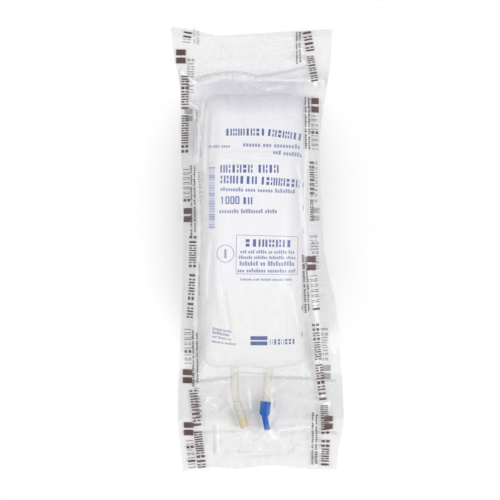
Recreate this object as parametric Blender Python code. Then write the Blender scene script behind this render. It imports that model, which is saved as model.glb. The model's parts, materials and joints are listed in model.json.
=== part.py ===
"""One-litre IV fluid bag, sealed in its clear overwrap and lying on its back.

+Y is the hanging end, -Y the port end and +Z up. The origin is on the surface that the pack
rests on, under the middle of the pack. Every size is in metres.
"""

import math

import bmesh
import bpy
import numpy as np
from mathutils import Matrix, Vector

# Films, and the gap that pieces which touch keep
GAP = 0.0003
OVERWRAP_FILM = 0.00015
BAG_FILM = 0.0004

# The liquid between the bag's films: a pillow with a flat foot
FILL_WIDTH = 0.099
FILL_LENGTH = 0.270
FILL_CENTRE_X = -0.003
FILL_CENTRE_Y = 0.018
FILL_ABOVE_SEAM = 0.0355
FILL_BELOW_SEAM = 0.0182
FILL_CORNER_RADIUS = 0.0120
SIDE_FULLNESS = 2.6
HANGING_END_FULLNESS = 5.0
PORT_END_FULLNESS = 3.4
FOOT_FLATNESS = 3.0
FILL_COLUMNS = 14
FILL_ROWS = 20

# The bag's welded margins, its hanging flap and the slot in it
SIDE_WELD = 0.0040
PORT_WELD = 0.0100
FLAP_LENGTH = 0.0170
FLAP_CORNER_RADIUS = 0.0090
SLOT_LENGTH = 0.0150
SLOT_WIDTH = 0.0060
SLOT_FROM_FLAP_EDGE = 0.0065
CORNER_STEPS = 4
ARC_STEPS = 6

# Port tubes
TUBE_INSIDE_BAG = 0.0100
TUBE_SIDES = 20
TURNED_STEPS = 24

# Injection port, on the left: a bent tube, a sleeve over its end and a rubber septum in the sleeve
INJECTION_X = -0.0226
INJECTION_TUBE_RADIUS = 0.0040
INJECTION_TUBE_WALL = 0.0009
INJECTION_STRAIGHT = 0.0130
INJECTION_BEND_RADIUS = 0.0380
INJECTION_BEND_ANGLE = math.radians(18.0)
INJECTION_TIP_RUN = 0.0072
BEND_STEPS = 5
SLEEVE_WALL = 0.0005
SLEEVE_LENGTH = 0.0176
SLEEVE_OVER_TUBE = 0.0068
SLEEVE_EDGE = 0.0003
SEPTUM_HEAD_RADIUS = 0.0043
SEPTUM_HEAD_LENGTH = 0.0092
SEPTUM_PLUG_LENGTH = 0.0080
SEPTUM_EDGE = 0.0009
SEPTUM_TARGET_RADIUS = 0.0022
SEPTUM_TARGET_DEPTH = 0.0006

# Spike port, on the right: a straight tube, a pierceable membrane cup and a pull-off cap
SPIKE_X = 0.0129
SPIKE_TILT = math.radians(5.6)
SPIKE_TUBE_RADIUS = 0.0042
SPIKE_TUBE_WALL = 0.0010
SPIKE_TUBE_LENGTH = 0.0565
MEMBRANE_FROM_END = 0.0210
MEMBRANE_CUP_LENGTH = 0.0150
MEMBRANE_CUP_WALL = 0.0005
MEMBRANE_THICKNESS = 0.0005
CAP_RADIUS = 0.0053
CAP_SOCKET_DEPTH = 0.0115
CAP_END_WALL = 0.0012
CAP_SHOULDER = 0.0016
CAP_EDGE = 0.0006
CAP_TAIL_RADIUS = 0.0029
CAP_TAIL_FLATTENING = 0.82
CAP_TAIL_LENGTH = 0.0143
CAP_TAIL_BEND = math.radians(17.6)
CAP_TRAVEL = 0.0125

# Overwrap: a lay-flat tube of film with a heat seal across each end
PACK_LENGTH = 0.444
SEAL_WIDTH = 0.010
FLAP_FILM_GAP = 0.0004
OVERWRAP_CLEARANCE = 0.0012
COVER_REACH = 0.0045
COVER_DIRECTIONS = 12
DRAPE_COLUMNS = 60
DRAPE_ROWS = 148
DRAPE_STEPS = 1500
SAG_ALONG_SIDES = 8.0
SAG_OFF_HANGING_END = 55.0
SAG_OFF_PORT_END = 26.0
HANGING_END_SAG_LENGTH = 0.020
PORT_END_SAG_LENGTH = 0.030
TRAPPED_AIR_AT_FLAP = 0.0030
TRAPPED_AIR_AT_PORTS = 0.0048
AIR_SLOPE_LENGTH = 0.020
AIR_SIDE_SHARE = 0.22
TRAVEL_PLACES = 4
VENT_RADIUS = 0.0015
VENT_X = 0.050
VENT_FROM_END = 0.030
OVERWRAP_COLUMNS = 30
END_SLOPE_LENGTH = 0.0125

# The overwrap's side edges: share of the pack's length from the port end, and x
LEFT_EDGE = (
    (0.00, -0.0740), (0.05, -0.0765), (0.10, -0.0790), (0.14, -0.0795), (0.22, -0.0785),
    (0.33, -0.0760), (0.50, -0.0742), (0.72, -0.0762), (0.89, -0.0790), (0.94, -0.0835), (1.00, -0.0863),
)
RIGHT_EDGE = (
    (0.00, 0.0790), (0.05, 0.0812), (0.10, 0.0858), (0.17, 0.0855), (0.28, 0.0820),
    (0.38, 0.0780), (0.48, 0.0680), (0.60, 0.0645), (0.78, 0.0635), (0.86, 0.0690), (0.96, 0.0740), (1.00, 0.0740),
)
# How far the two end edges wave in from the pack's full length: share across from the left, and depth
TOP_EDGE = ((0.0, 0.0), (0.12, 0.0028), (0.28, 0.0085), (0.45, 0.0078), (0.70, 0.0048), (1.0, 0.0028))
BOTTOM_EDGE = ((0.0, 0.0), (0.12, 0.0042), (0.35, 0.0028), (0.58, 0.0060), (0.80, 0.0030), (1.0, 0.0022))

# Broad folds of the overwrap: the ends of each ridge, its half width and its height
OVERWRAP_FOLDS = (
    ((-0.058, 0.172), (-0.004, 0.177), 0.0070, 0.0022),
    ((0.002, 0.174), (0.046, 0.181), 0.0070, 0.0024),
    ((-0.060, 0.150), (-0.064, 0.060), 0.0060, 0.0020),
    ((-0.062, 0.020), (-0.066, -0.080), 0.0060, 0.0018),
    ((0.055, 0.120), (0.056, 0.030), 0.0060, 0.0020),
    ((0.060, -0.030), (0.066, -0.150), 0.0070, 0.0026),
    ((-0.066, -0.130), (-0.040, -0.134), 0.0060, 0.0018),
    ((0.028, -0.134), (0.058, -0.130), 0.0060, 0.0018),
    ((-0.048, -0.182), (0.052, -0.178), 0.0065, 0.0016),
    ((-0.040, -0.206), (-0.034, -0.186), 0.0075, 0.0022),
    ((0.006, -0.188), (0.030, -0.204), 0.0075, 0.0026),
    ((-0.070, 0.204), (-0.062, 0.186), 0.0070, 0.0018),
)

# Heights that follow from the sizes above
FILL_BASE_Z = OVERWRAP_FILM + GAP + BAG_FILM + GAP
SEAM_MIDDLE_Z = FILL_BASE_Z + FILL_BELOW_SEAM
SLEEVE_RADIUS = INJECTION_TUBE_RADIUS + GAP + SLEEVE_WALL
PORT_AXIS_Z = OVERWRAP_FILM + GAP + max(CAP_RADIUS, SLEEVE_RADIUS)
BAG_GROWTH = GAP + BAG_FILM

# Ends along Y that follow from the sizes above
FILL_TOP_Y = FILL_CENTRE_Y + FILL_LENGTH / 2
FILL_PORT_Y = FILL_CENTRE_Y - FILL_LENGTH / 2
FLAP_EDGE_Y = FILL_TOP_Y + FLAP_LENGTH
PORT_WELD_EDGE_Y = FILL_PORT_Y - PORT_WELD
TUBE_START_Y = FILL_PORT_Y + TUBE_INSIDE_BAG
BAG_HALF_WIDTH = FILL_WIDTH / 2 + BAG_GROWTH + SIDE_WELD


def clear_scene():
    """Takes every object out of the open file."""
    for thing in list(bpy.data.objects):
        bpy.data.objects.remove(thing)


def plastic(name, colour, roughness, alpha=1.0):
    """A Principled material of one colour, see-through where alpha is below 1."""
    made = bpy.data.materials.new(name)
    made.use_nodes = True
    shader = made.node_tree.nodes["Principled BSDF"]
    shader.inputs["Base Color"].default_value = (*colour, 1.0)
    shader.inputs["Roughness"].default_value = roughness
    shader.inputs["Metallic"].default_value = 0.0
    shader.inputs["Alpha"].default_value = alpha
    return made


def placed(name, mesh, material=None):
    """An object of this mesh in the scene, shaded smooth up to sharp corners."""
    mesh.shade_smooth()
    mesh.set_sharp_from_angle(angle=math.radians(40))
    thing = bpy.data.objects.new(name, mesh)
    bpy.context.scene.collection.objects.link(thing)
    if material is not None:
        mesh.materials.append(material)
    return thing


def helper(thing):
    """Marks an object as a cutter or a shape that another one takes in."""
    thing.hide_render = True
    thing.display_type = "WIRE"
    return thing


def combine(target, other, operation):
    """Joins another object to the target or cuts it away with a Boolean modifier."""
    made = target.modifiers.new(f"{operation.lower()} {other.name}", "BOOLEAN")
    made.operation = operation
    made.solver = "EXACT"
    made.object = helper(other)


def follow(child, parent, along=0.0):
    """Sets a child on its parent's local Z axis, this far along it."""
    child.parent = parent
    child.location = (0.0, 0.0, along)


def finished_mesh(name, bm):
    """Turns a bmesh into a mesh whose faces point outwards."""
    bmesh.ops.recalc_face_normals(bm, faces=bm.faces)
    if bm.calc_volume(signed=True) < 0.0:
        bmesh.ops.reverse_faces(bm, faces=bm.faces)
    mesh = bpy.data.meshes.new(name)
    bm.to_mesh(mesh)
    bm.free()
    return mesh


def grid_sheet(bm, points):
    """Adds a grid of triangles through these points. Each corner is split towards the inside of the grid."""
    rows, columns = points.shape[:2]
    verts = bmesh.ops.create_grid(bm, x_segments=columns - 1, y_segments=rows - 1, size=1.0)["verts"]
    for vertex, point in zip(verts, points.reshape(-1, 3)):
        vertex.co = point
    for row, inner_row in ((0, 1), (rows - 1, rows - 2)):
        for column, inner_column in ((0, 1), (columns - 1, columns - 2)):
            corner = verts[row * columns + column]
            bmesh.utils.face_split(corner.link_faces[0], corner, verts[inner_row * columns + inner_column])
    faces = list({face for vertex in verts for face in vertex.link_faces})
    faces.sort(key=lambda face: face.index)
    bmesh.ops.triangulate(bm, faces=faces, quad_method="FIXED")
    return verts


def border_of(points):
    """Indices of a grid's border points, in order round it."""
    rows, columns = points.shape[:2]
    border = [(0, column) for column in range(columns - 1)]
    border += [(row, columns - 1) for row in range(rows - 1)]
    border += [(rows - 1, column) for column in range(columns - 1, 0, -1)]
    border += [(row, 0) for row in range(rows - 1, 0, -1)]
    return [row * columns + column for row, column in border]


def wall_between(bm, upper, lower):
    """Joins two closed rings of points with a band of faces."""
    for here, after in zip(range(len(upper)), [*range(1, len(upper)), 0]):
        bm.faces.new((upper[here], upper[after], lower[after], lower[here]))


def body_between(name, top, bottom):
    """A closed mesh between two grids of points with the same rows and columns.

    Where the grids meet along their border they share its points, and elsewhere a wall joins them.
    """
    bm = bmesh.new()
    around = border_of(top)
    upper, lower = (grid_sheet(bm, points) for points in (top, bottom))
    wall_between(bm, [upper[index] for index in around], [lower[index] for index in around])
    bmesh.ops.remove_doubles(bm, verts=bm.verts, dist=1e-7)
    return finished_mesh(name, bm)


def body_down_to(name, top, floor):
    """A closed mesh from a grid of points down to one flat face at this height."""
    bm = bmesh.new()
    sheet = grid_sheet(bm, top)
    upper = [sheet[index] for index in border_of(top)]
    lower = [bm.verts.new((point.co.x, point.co.y, floor)) for point in upper]
    wall_between(bm, upper, lower)
    bm.faces.new(lower)
    return finished_mesh(name, bm)


def turned(name, profile):
    """A body of revolution about local Z from (distance along Z, radius) points that start and end on the axis
    or close on themselves."""
    bm = bmesh.new()
    points = [bm.verts.new((radius, 0.0, along)) for along, radius in profile]
    edges = [bm.edges.new(pair) for pair in zip(points, points[1:])]
    if profile[0][1] > 0.0:
        edges.append(bm.edges.new((points[-1], points[0])))
    bmesh.ops.spin(
        bm, geom=points + edges, cent=(0, 0, 0), axis=(0, 0, 1), angle=math.tau, steps=TURNED_STEPS, use_merge=True
    )
    bmesh.ops.remove_doubles(bm, verts=bm.verts, dist=1e-7)
    return finished_mesh(name, bm)


def rod_along(name, points, radius):
    """A round rod along a line of points, with flat ends."""
    curve = bpy.data.curves.new(name, "CURVE")
    curve.dimensions = "3D"
    curve.bevel_depth = radius
    curve.bevel_resolution = (TUBE_SIDES - 4) // 2
    curve.use_fill_caps = True
    spline = curve.splines.new("POLY")
    spline.points.add(len(points) - 1)
    for spot, point in zip(spline.points, points):
        spot.co = (*point, 1.0)
    guide = bpy.data.objects.new(name, curve)
    mesh = bpy.data.meshes.new_from_object(guide)
    bpy.data.objects.remove(guide)
    bm = bmesh.new()
    bm.from_mesh(mesh)
    bmesh.ops.remove_doubles(bm, verts=bm.verts, dist=1e-7)
    return finished_mesh(name, bm)


def stretched(points, before, after):
    """The same line with its first and last points moved outwards along it."""
    first = points[0] + (points[0] - points[1]).normalized() * before
    last = points[-1] + (points[-1] - points[-2]).normalized() * after
    return [first, *points[1:-1], last]


def seam_height(y):
    """Height of the bag's side weld: level with the ports at both ends, and lifted by the liquid between."""
    share = np.clip(np.abs((y - FILL_CENTRE_Y) / (FILL_LENGTH / 2)), 0.0, 1.0)
    return PORT_AXIS_Z + (SEAM_MIDDLE_Z - PORT_AXIS_Z) * (1.0 - share**3) ** 2


def fullness(across, along):
    """How full the pillow is, from 0 on its welds to 1 in its middle. Both places run from -1 to 1."""
    end_power = np.where(along > 0.0, HANGING_END_FULLNESS, PORT_END_FULLNESS)
    across, along = np.clip(np.abs(across), 0.0, 1.0), np.clip(np.abs(along), 0.0, 1.0)
    return np.sqrt((1.0 - across**SIDE_FULLNESS) * (1.0 - along**end_power))


def pillow(growth):
    """Upper and lower grids of the liquid's surface, grown outwards by this much on every side."""
    across = np.sin(np.linspace(-math.pi / 2, math.pi / 2, FILL_COLUMNS + 1))
    along = np.sin(np.linspace(-math.pi / 2, math.pi / 2, FILL_ROWS + 1))
    across, along = np.meshgrid(across, along)
    full = fullness(across, along)
    radius = FILL_CORNER_RADIUS + growth
    half_length = FILL_LENGTH / 2 + growth
    into_corner = np.clip(np.abs(along) * half_length - (half_length - radius), 0.0, radius)
    half_width = FILL_WIDTH / 2 + growth - radius + np.sqrt(radius**2 - into_corner**2)
    x = FILL_CENTRE_X + across * half_width
    y = FILL_CENTRE_Y + along * half_length
    seam = seam_height(y)
    foot = 1.0 - (1.0 - full) ** FOOT_FLATNESS
    top = seam + (FILL_ABOVE_SEAM + growth) * full
    bottom = seam - (seam - FILL_BASE_Z + growth) * foot
    return np.stack([x, y, top], axis=2), np.stack([x, y, bottom], axis=2)


def injection_line():
    """Middle line of the injection port's tube: straight out of the weld, then bent towards the other port."""
    bend_start_y = PORT_WELD_EDGE_Y - INJECTION_STRAIGHT
    points = [Vector((INJECTION_X, TUBE_START_Y, PORT_AXIS_Z))]
    for step in range(BEND_STEPS + 1):
        angle = INJECTION_BEND_ANGLE * step / BEND_STEPS
        aside = INJECTION_BEND_RADIUS * (1.0 - math.cos(angle))
        down = INJECTION_BEND_RADIUS * math.sin(angle)
        points.append(Vector((INJECTION_X + aside, bend_start_y - down, PORT_AXIS_Z)))
    onward = Vector((math.sin(INJECTION_BEND_ANGLE), -math.cos(INJECTION_BEND_ANGLE), 0.0))
    points.append(points[-1] + onward * INJECTION_TIP_RUN)
    return points


def spike_line():
    """Middle line of the spike port's tube, leaning towards the other port."""
    start = Vector((SPIKE_X, TUBE_START_Y, PORT_AXIS_Z))
    onward = Vector((-math.sin(SPIKE_TILT), -math.cos(SPIKE_TILT), 0.0))
    return [start, start + onward * SPIKE_TUBE_LENGTH]


def port_frame(name, points):
    """An empty at the end of a port's tube, with its local Z pointing out along the tube and local Y up."""
    out = (points[-1] - points[-2]).normalized()
    up = Vector((0.0, 0.0, 1.0))
    side = up.cross(out)
    frame = bpy.data.objects.new(name, None)
    bpy.context.scene.collection.objects.link(frame)
    frame.matrix_world = Matrix.Translation(points[-1]) @ Matrix((side, up, out)).transposed().to_4x4()
    return frame


def bag_margin():
    """The welded margin round the liquid: two films thick, with a rounded hanging flap."""
    flap = FLAP_EDGE_Y - FLAP_CORNER_RADIUS
    turn = np.linspace(0.0, math.pi / 2, CORNER_STEPS + 1)
    rows = np.concatenate([
        [PORT_WELD_EDGE_Y],
        FILL_CENTRE_Y + np.sin(np.linspace(-math.pi / 2, math.pi / 2, FILL_ROWS + 1)) * FILL_LENGTH / 2,
        flap + np.sin(turn) * FLAP_CORNER_RADIUS,
    ])
    corner = FLAP_CORNER_RADIUS * (1.0 - np.cos(turn))
    half = np.concatenate([np.full(FILL_ROWS + 2, BAG_HALF_WIDTH), BAG_HALF_WIDTH - corner])
    across = np.linspace(-1.0, 1.0, 3)
    x = FILL_CENTRE_X + half[:, None] * across
    y = np.repeat(rows[:, None], len(across), axis=1)
    seam = seam_height(y)
    return np.stack([x, y, seam + BAG_FILM], axis=2), np.stack([x, y, seam - BAG_FILM], axis=2)


def hanging_slot():
    """A cutter for the slot that the pole's hook goes through: a long hole with round ends."""
    straight = (SLOT_LENGTH - SLOT_WIDTH) / 2
    middle_y = FLAP_EDGE_Y - SLOT_FROM_FLAP_EDGE
    bm = bmesh.new()
    outline = []
    for side in (1, -1):
        for step in range(ARC_STEPS + 1):
            angle = side * (math.pi / 2 - math.pi * step / ARC_STEPS)
            x = FILL_CENTRE_X + side * (straight + SLOT_WIDTH / 2 * abs(math.cos(angle)))
            y = middle_y + SLOT_WIDTH / 2 * math.sin(angle)
            outline.append(bm.verts.new((x, y, PORT_AXIS_Z - 2 * BAG_FILM)))
    bottom = bm.faces.new(outline)
    raised = bmesh.ops.extrude_face_region(bm, geom=[bottom])["geom"]
    lifted = [piece for piece in raised if isinstance(piece, bmesh.types.BMVert)]
    bmesh.ops.translate(bm, verts=lifted, vec=(0.0, 0.0, 4 * BAG_FILM))
    return placed("slot_cutter", finished_mesh("slot_cutter", bm))


def port_runs():
    """Each port's middle line and tube radius."""
    return (
        ("injection", injection_line(), INJECTION_TUBE_RADIUS),
        ("spike", spike_line(), SPIKE_TUBE_RADIUS),
    )


def bag_film(material):
    """Both films of the bag as welded: pillow, margins, flap with its slot, and a boss of film round each tube."""
    film = placed("bag_film", body_between("bag_film", *pillow(BAG_GROWTH)), material)
    combine(film, placed("margin", body_between("margin", *bag_margin())), "UNION")
    for name, line, radius in port_runs():
        weld_end = line[0] + (line[1] - line[0]).normalized() * (TUBE_INSIDE_BAG + PORT_WELD)
        boss = rod_along(f"{name}_boss", [line[0], weld_end], radius + BAG_GROWTH)
        combine(film, placed(f"{name}_boss", boss), "UNION")
    combine(film, placed("cavity", body_between("cavity", *pillow(GAP))), "DIFFERENCE")
    for name, line, radius in port_runs():
        hole = rod_along(f"{name}_hole", stretched(line, GAP, GAP), radius + GAP)
        combine(film, placed(f"{name}_hole", hole), "DIFFERENCE")
    combine(film, hanging_slot(), "DIFFERENCE")


def saline_fill(material):
    """The liquid: the pillow between the films, with a column standing in each port's tube."""
    fill = placed("saline_fill", body_between("saline_fill", *pillow(0.0)), material)
    bores = (INJECTION_TUBE_RADIUS - INJECTION_TUBE_WALL, SPIKE_TUBE_RADIUS - SPIKE_TUBE_WALL)
    stops = (GAP, MEMBRANE_FROM_END + GAP)
    for (name, line, radius), bore, stop in zip(port_runs(), bores, stops):
        around = rod_along(f"{name}_room", stretched(line, GAP, GAP), radius + GAP)
        combine(fill, placed(f"{name}_room", around), "DIFFERENCE")
        column = rod_along(f"{name}_column", stretched(line, INJECTION_TUBE_RADIUS, -stop), bore - GAP)
        combine(fill, placed(f"{name}_column", column), "UNION")


def injection_port(tube_material, sleeve_material, rubber):
    """Bent tube, the sleeve pushed over its end, and the septum that a needle goes through."""
    line = injection_line()
    tube = placed("injection_port_tube", rod_along("injection_port_tube", line, INJECTION_TUBE_RADIUS), tube_material)
    bore = rod_along("injection_bore", stretched(line, GAP, GAP), INJECTION_TUBE_RADIUS - INJECTION_TUBE_WALL)
    combine(tube, placed("injection_bore", bore), "DIFFERENCE")

    end = port_frame("injection_port_end", line)
    inside = SLEEVE_RADIUS - SLEEVE_WALL
    sleeve_end = SLEEVE_LENGTH - SLEEVE_OVER_TUBE
    sleeve = turned("injection_port_sleeve", [
        (-SLEEVE_OVER_TUBE, inside),
        (-SLEEVE_OVER_TUBE, SLEEVE_RADIUS - SLEEVE_EDGE),
        (-SLEEVE_OVER_TUBE + SLEEVE_EDGE, SLEEVE_RADIUS),
        (sleeve_end - SLEEVE_EDGE, SLEEVE_RADIUS),
        (sleeve_end, SLEEVE_RADIUS - SLEEVE_EDGE),
        (sleeve_end, inside),
    ])
    follow(placed("injection_port_sleeve", sleeve, sleeve_material), end)

    plug = inside - GAP
    seat = sleeve_end + GAP
    tip = seat + SEPTUM_HEAD_LENGTH
    septum = turned("injection_port_septum", [
        (seat - SEPTUM_PLUG_LENGTH, 0.0),
        (seat - SEPTUM_PLUG_LENGTH, plug - SEPTUM_EDGE / 2),
        (seat - SEPTUM_PLUG_LENGTH + SEPTUM_EDGE / 2, plug),
        (seat, plug),
        (seat, SEPTUM_HEAD_RADIUS),
        (tip - SEPTUM_EDGE, SEPTUM_HEAD_RADIUS),
        (tip - SEPTUM_EDGE / 3, SEPTUM_HEAD_RADIUS - SEPTUM_EDGE / 3),
        (tip, SEPTUM_HEAD_RADIUS - SEPTUM_EDGE),
        (tip, SEPTUM_TARGET_RADIUS),
        (tip - SEPTUM_TARGET_DEPTH, SEPTUM_TARGET_RADIUS),
        (tip - SEPTUM_TARGET_DEPTH, 0.0),
    ])
    follow(placed("injection_port_septum", septum, rubber), end)


def cap_tail_line():
    """Middle line of the cap's tail in the cap's own frame: out of the shoulder, then bent to the right."""
    start = CAP_SOCKET_DEPTH + CAP_END_WALL / 2
    lean = Vector((-math.sin(CAP_TAIL_BEND), 0.0, math.cos(CAP_TAIL_BEND)))
    knee = Vector((0.0, 0.0, start + CAP_SHOULDER))
    return [Vector((0.0, 0.0, start)), knee, knee + lean * CAP_TAIL_LENGTH]


def pull_off_cap(material):
    """The cap's socket with its sloped shoulder, and the flattened tail that is gripped to pull it off."""
    end = CAP_SOCKET_DEPTH + CAP_END_WALL
    socket = SPIKE_TUBE_RADIUS + GAP
    body = turned("spike_port_cap", [
        (CAP_SOCKET_DEPTH, 0.0),
        (CAP_SOCKET_DEPTH, socket),
        (0.0, socket),
        (0.0, CAP_RADIUS - CAP_EDGE),
        (CAP_EDGE, CAP_RADIUS),
        (end - CAP_EDGE, CAP_RADIUS),
        (end + CAP_SHOULDER, CAP_TAIL_RADIUS),
        (end + CAP_SHOULDER, 0.0),
    ])
    cap = placed("spike_port_cap", body, material)
    tail = placed("cap_tail", rod_along("cap_tail", cap_tail_line(), CAP_TAIL_RADIUS))
    tail.data.transform(Matrix.Diagonal((1.0, CAP_TAIL_FLATTENING, 1.0, 1.0)))
    rim = tail.modifiers.new("soft tip", "BEVEL")
    rim.width = CAP_EDGE
    rim.segments = 2
    rim.limit_method = "ANGLE"
    rim.angle_limit = math.radians(60)
    combine(cap, tail, "UNION")
    return cap, tail


def spike_port(tube_material, cup_material, cap_material):
    """Straight tube, the membrane cup inside it, and the pull-off cap over its end."""
    line = spike_line()
    end = port_frame("spike_port_end", line)
    bore = SPIKE_TUBE_RADIUS - SPIKE_TUBE_WALL
    tube = turned("spike_port_tube", [
        (-SPIKE_TUBE_LENGTH, bore),
        (-SPIKE_TUBE_LENGTH, SPIKE_TUBE_RADIUS),
        (0.0, SPIKE_TUBE_RADIUS),
        (0.0, bore),
    ])
    follow(placed("spike_port_tube", tube, tube_material), end)

    outside = bore - GAP
    inside = outside - MEMBRANE_CUP_WALL
    cup = turned("spike_port_membrane", [
        (-MEMBRANE_FROM_END, 0.0),
        (-MEMBRANE_FROM_END, outside),
        (-MEMBRANE_FROM_END + MEMBRANE_CUP_LENGTH, outside),
        (-MEMBRANE_FROM_END + MEMBRANE_CUP_LENGTH, inside),
        (-MEMBRANE_FROM_END + MEMBRANE_THICKNESS, inside),
        (-MEMBRANE_FROM_END + MEMBRANE_THICKNESS, 0.0),
    ])
    follow(placed("spike_port_membrane", cup, cup_material), end)

    cap, tail = pull_off_cap(cap_material)
    for piece in (cap, tail):
        follow(piece, end, GAP - CAP_SOCKET_DEPTH)


def between(value, outline):
    """Reads a smooth curve through an outline's (place, size) points."""
    places, sizes = np.array(outline).T
    slopes = np.gradient(sizes, places)
    index = np.clip(np.searchsorted(places, value, side="right") - 1, 0, len(places) - 2)
    span = places[index + 1] - places[index]
    share = (value - places[index]) / span
    start_weight = 2 * share**3 - 3 * share**2 + 1
    end_weight = 1.0 - start_weight
    start_slope = share**3 - 2 * share**2 + share
    end_slope = share**3 - share**2
    return (
        start_weight * sizes[index] + end_weight * sizes[index + 1]
        + span * (start_slope * slopes[index] + end_slope * slopes[index + 1])
    )


def plateau(value, centre, half, power):
    """1 in the middle, falling smoothly to 0 beyond this half width."""
    return np.exp(-np.abs((value - centre) / half) ** power)


def fold_ridge(x, y, start, end, half_width, height):
    """Height that one fold adds: a round ridge along a line, fading at both ends."""
    ahead = np.subtract(end, start)
    length = math.hypot(*ahead)
    along = ((x - start[0]) * ahead[0] + (y - start[1]) * ahead[1]) / length**2
    aside = ((x - start[0]) * ahead[1] - (y - start[1]) * ahead[0]) / length
    return height * np.exp(-((aside / half_width) ** 2)) * plateau(along, 0.5, 0.6, 4)


def port_rods():
    """Start, end and radius of the round pieces under the overwrap, with the cap at places along its way off."""
    line = injection_line()
    out = (line[-1] - line[-2]).normalized()
    septum_tip = SLEEVE_LENGTH - SLEEVE_OVER_TUBE + GAP + SEPTUM_HEAD_LENGTH
    rods = [(*pair, INJECTION_TUBE_RADIUS) for pair in zip(line, line[1:])]
    rods.append((line[-1] - out * SLEEVE_OVER_TUBE, line[-1] + out * septum_tip, SLEEVE_RADIUS))

    start, end = spike_line()
    onward = (end - start).normalized()
    knee = end + onward * (GAP + CAP_END_WALL + CAP_SHOULDER)
    lean = CAP_TAIL_BEND - SPIKE_TILT
    tail = Vector((math.sin(lean), -math.cos(lean), 0.0)) * CAP_TAIL_LENGTH
    rods.append((start, end, SPIKE_TUBE_RADIUS))
    rods.append((end - onward * CAP_SOCKET_DEPTH, knee + onward * CAP_TRAVEL, CAP_RADIUS))
    for pulled in np.linspace(0.0, CAP_TRAVEL, TRAVEL_PLACES):
        rods.append((knee + onward * pulled, knee + onward * pulled + tail, CAP_TAIL_RADIUS))
    return rods


def rod_top(x, y, start, end, radius):
    """Height of the top of a round rod that lies between two points, and 0 beside it."""
    ahead_x, ahead_y = end.x - start.x, end.y - start.y
    along = ((x - start.x) * ahead_x + (y - start.y) * ahead_y) / (ahead_x**2 + ahead_y**2)
    along = np.clip(along, 0.0, 1.0)
    aside = (x - start.x - along * ahead_x) ** 2 + (y - start.y - along * ahead_y) ** 2
    return np.where(aside < radius**2, PORT_AXIS_Z + np.sqrt(np.clip(radius**2 - aside, 0.0, None)), 0.0)


def contents_top(x, y, rods):
    """Height of the top of the bag or of a port over each place, and 0 where nothing lies."""
    across = (x - FILL_CENTRE_X) / (FILL_WIDTH / 2 + BAG_GROWTH)
    along = (y - FILL_CENTRE_Y) / (FILL_LENGTH / 2 + BAG_GROWTH)
    bag = seam_height(y) + BAG_FILM + (FILL_ABOVE_SEAM + BAG_GROWTH) * fullness(across, along)
    over_bag = (np.abs(x - FILL_CENTRE_X) < BAG_HALF_WIDTH) & (y > PORT_WELD_EDGE_Y) & (y < FLAP_EDGE_Y)
    return np.max([np.where(over_bag, bag, 0.0), *(rod_top(x, y, *rod) for rod in rods)], axis=0)


def room_needed(x, y):
    """Height that the overwrap has to clear: the highest of its contents within reach of each place."""
    rods = port_rods()
    turn = np.linspace(0.0, math.tau, COVER_DIRECTIONS, endpoint=False)
    around = [(0.0, 0.0)]
    for reach in (COVER_REACH / 2, COVER_REACH):
        around += list(zip(reach * np.cos(turn), reach * np.sin(turn)))
    top = np.max([contents_top(x + aside, y + ahead, rods) for aside, ahead in around], axis=0)
    return np.where(top > 0.0, top + OVERWRAP_CLEARANCE, 0.0)


def rise(value, low, high):
    """0 below low, 1 above high and a smooth step between them."""
    share = np.clip((value - low) / (high - low), 0.0, 1.0)
    return share * share * (3.0 - 2.0 * share)


def trapped_air(across, along, y):
    """Height at which the air in the pack holds the upper film up, beyond the bag's two ends."""
    side = rise(np.minimum(across, 1.0 - across), 0.0, AIR_SIDE_SHARE)
    end = rise(PACK_LENGTH * np.minimum(along, 1.0 - along), SEAL_WIDTH, SEAL_WIDTH + AIR_SLOPE_LENGTH)
    at_flap = TRAPPED_AIR_AT_FLAP * rise(y, FILL_TOP_Y, FLAP_EDGE_Y)
    at_ports = TRAPPED_AIR_AT_PORTS * (1.0 - rise(y, PORT_WELD_EDGE_Y - PORT_WELD, PORT_WELD_EDGE_Y))
    return side * end * (at_flap + at_ports)


def film_sag(y):
    """How far the upper film bends down where nothing holds it: more off the bag's ends than along its sides."""
    off_hanging_end = rise(y, FILL_TOP_Y - HANGING_END_SAG_LENGTH, FILL_TOP_Y)
    off_port_end = 1.0 - rise(y, PORT_WELD_EDGE_Y, PORT_WELD_EDGE_Y + PORT_END_SAG_LENGTH)
    return SAG_ALONG_SIDES + SAG_OFF_HANGING_END * off_hanging_end + SAG_OFF_PORT_END * off_port_end


def draped_room():
    """Grid of the upper film's height over the pack: film stretched over the contents.

    Each free point is the mean of its four neighbours less a little sag, and never lower than what
    it has to clear or the air in the pack. The side edges and the end seals stay down.
    """
    across, along = np.meshgrid(np.linspace(0.0, 1.0, DRAPE_COLUMNS + 1), np.linspace(0.0, 1.0, DRAPE_ROWS + 1))
    x, y = overwrap_points(across, along, 0.0)
    needed = np.maximum(room_needed(x, y), trapped_air(across, along, y))
    sealed = PACK_LENGTH * np.minimum(along, 1.0 - along) < SEAL_WIDTH
    sag = film_sag(y) * (PACK_LENGTH / DRAPE_ROWS) ** 2 / 4
    height = np.where(sealed, 0.0, needed)
    for _ in range(DRAPE_STEPS):
        mean = (height[1:-1, :-2] + height[1:-1, 2:] + height[:-2, 1:-1] + height[2:, 1:-1]) / 4
        stretched_film = np.maximum(mean - sag[1:-1, 1:-1], needed[1:-1, 1:-1])
        height[1:-1, 1:-1] = np.where(sealed[1:-1, 1:-1], 0.0, stretched_film)
    return height


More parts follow.
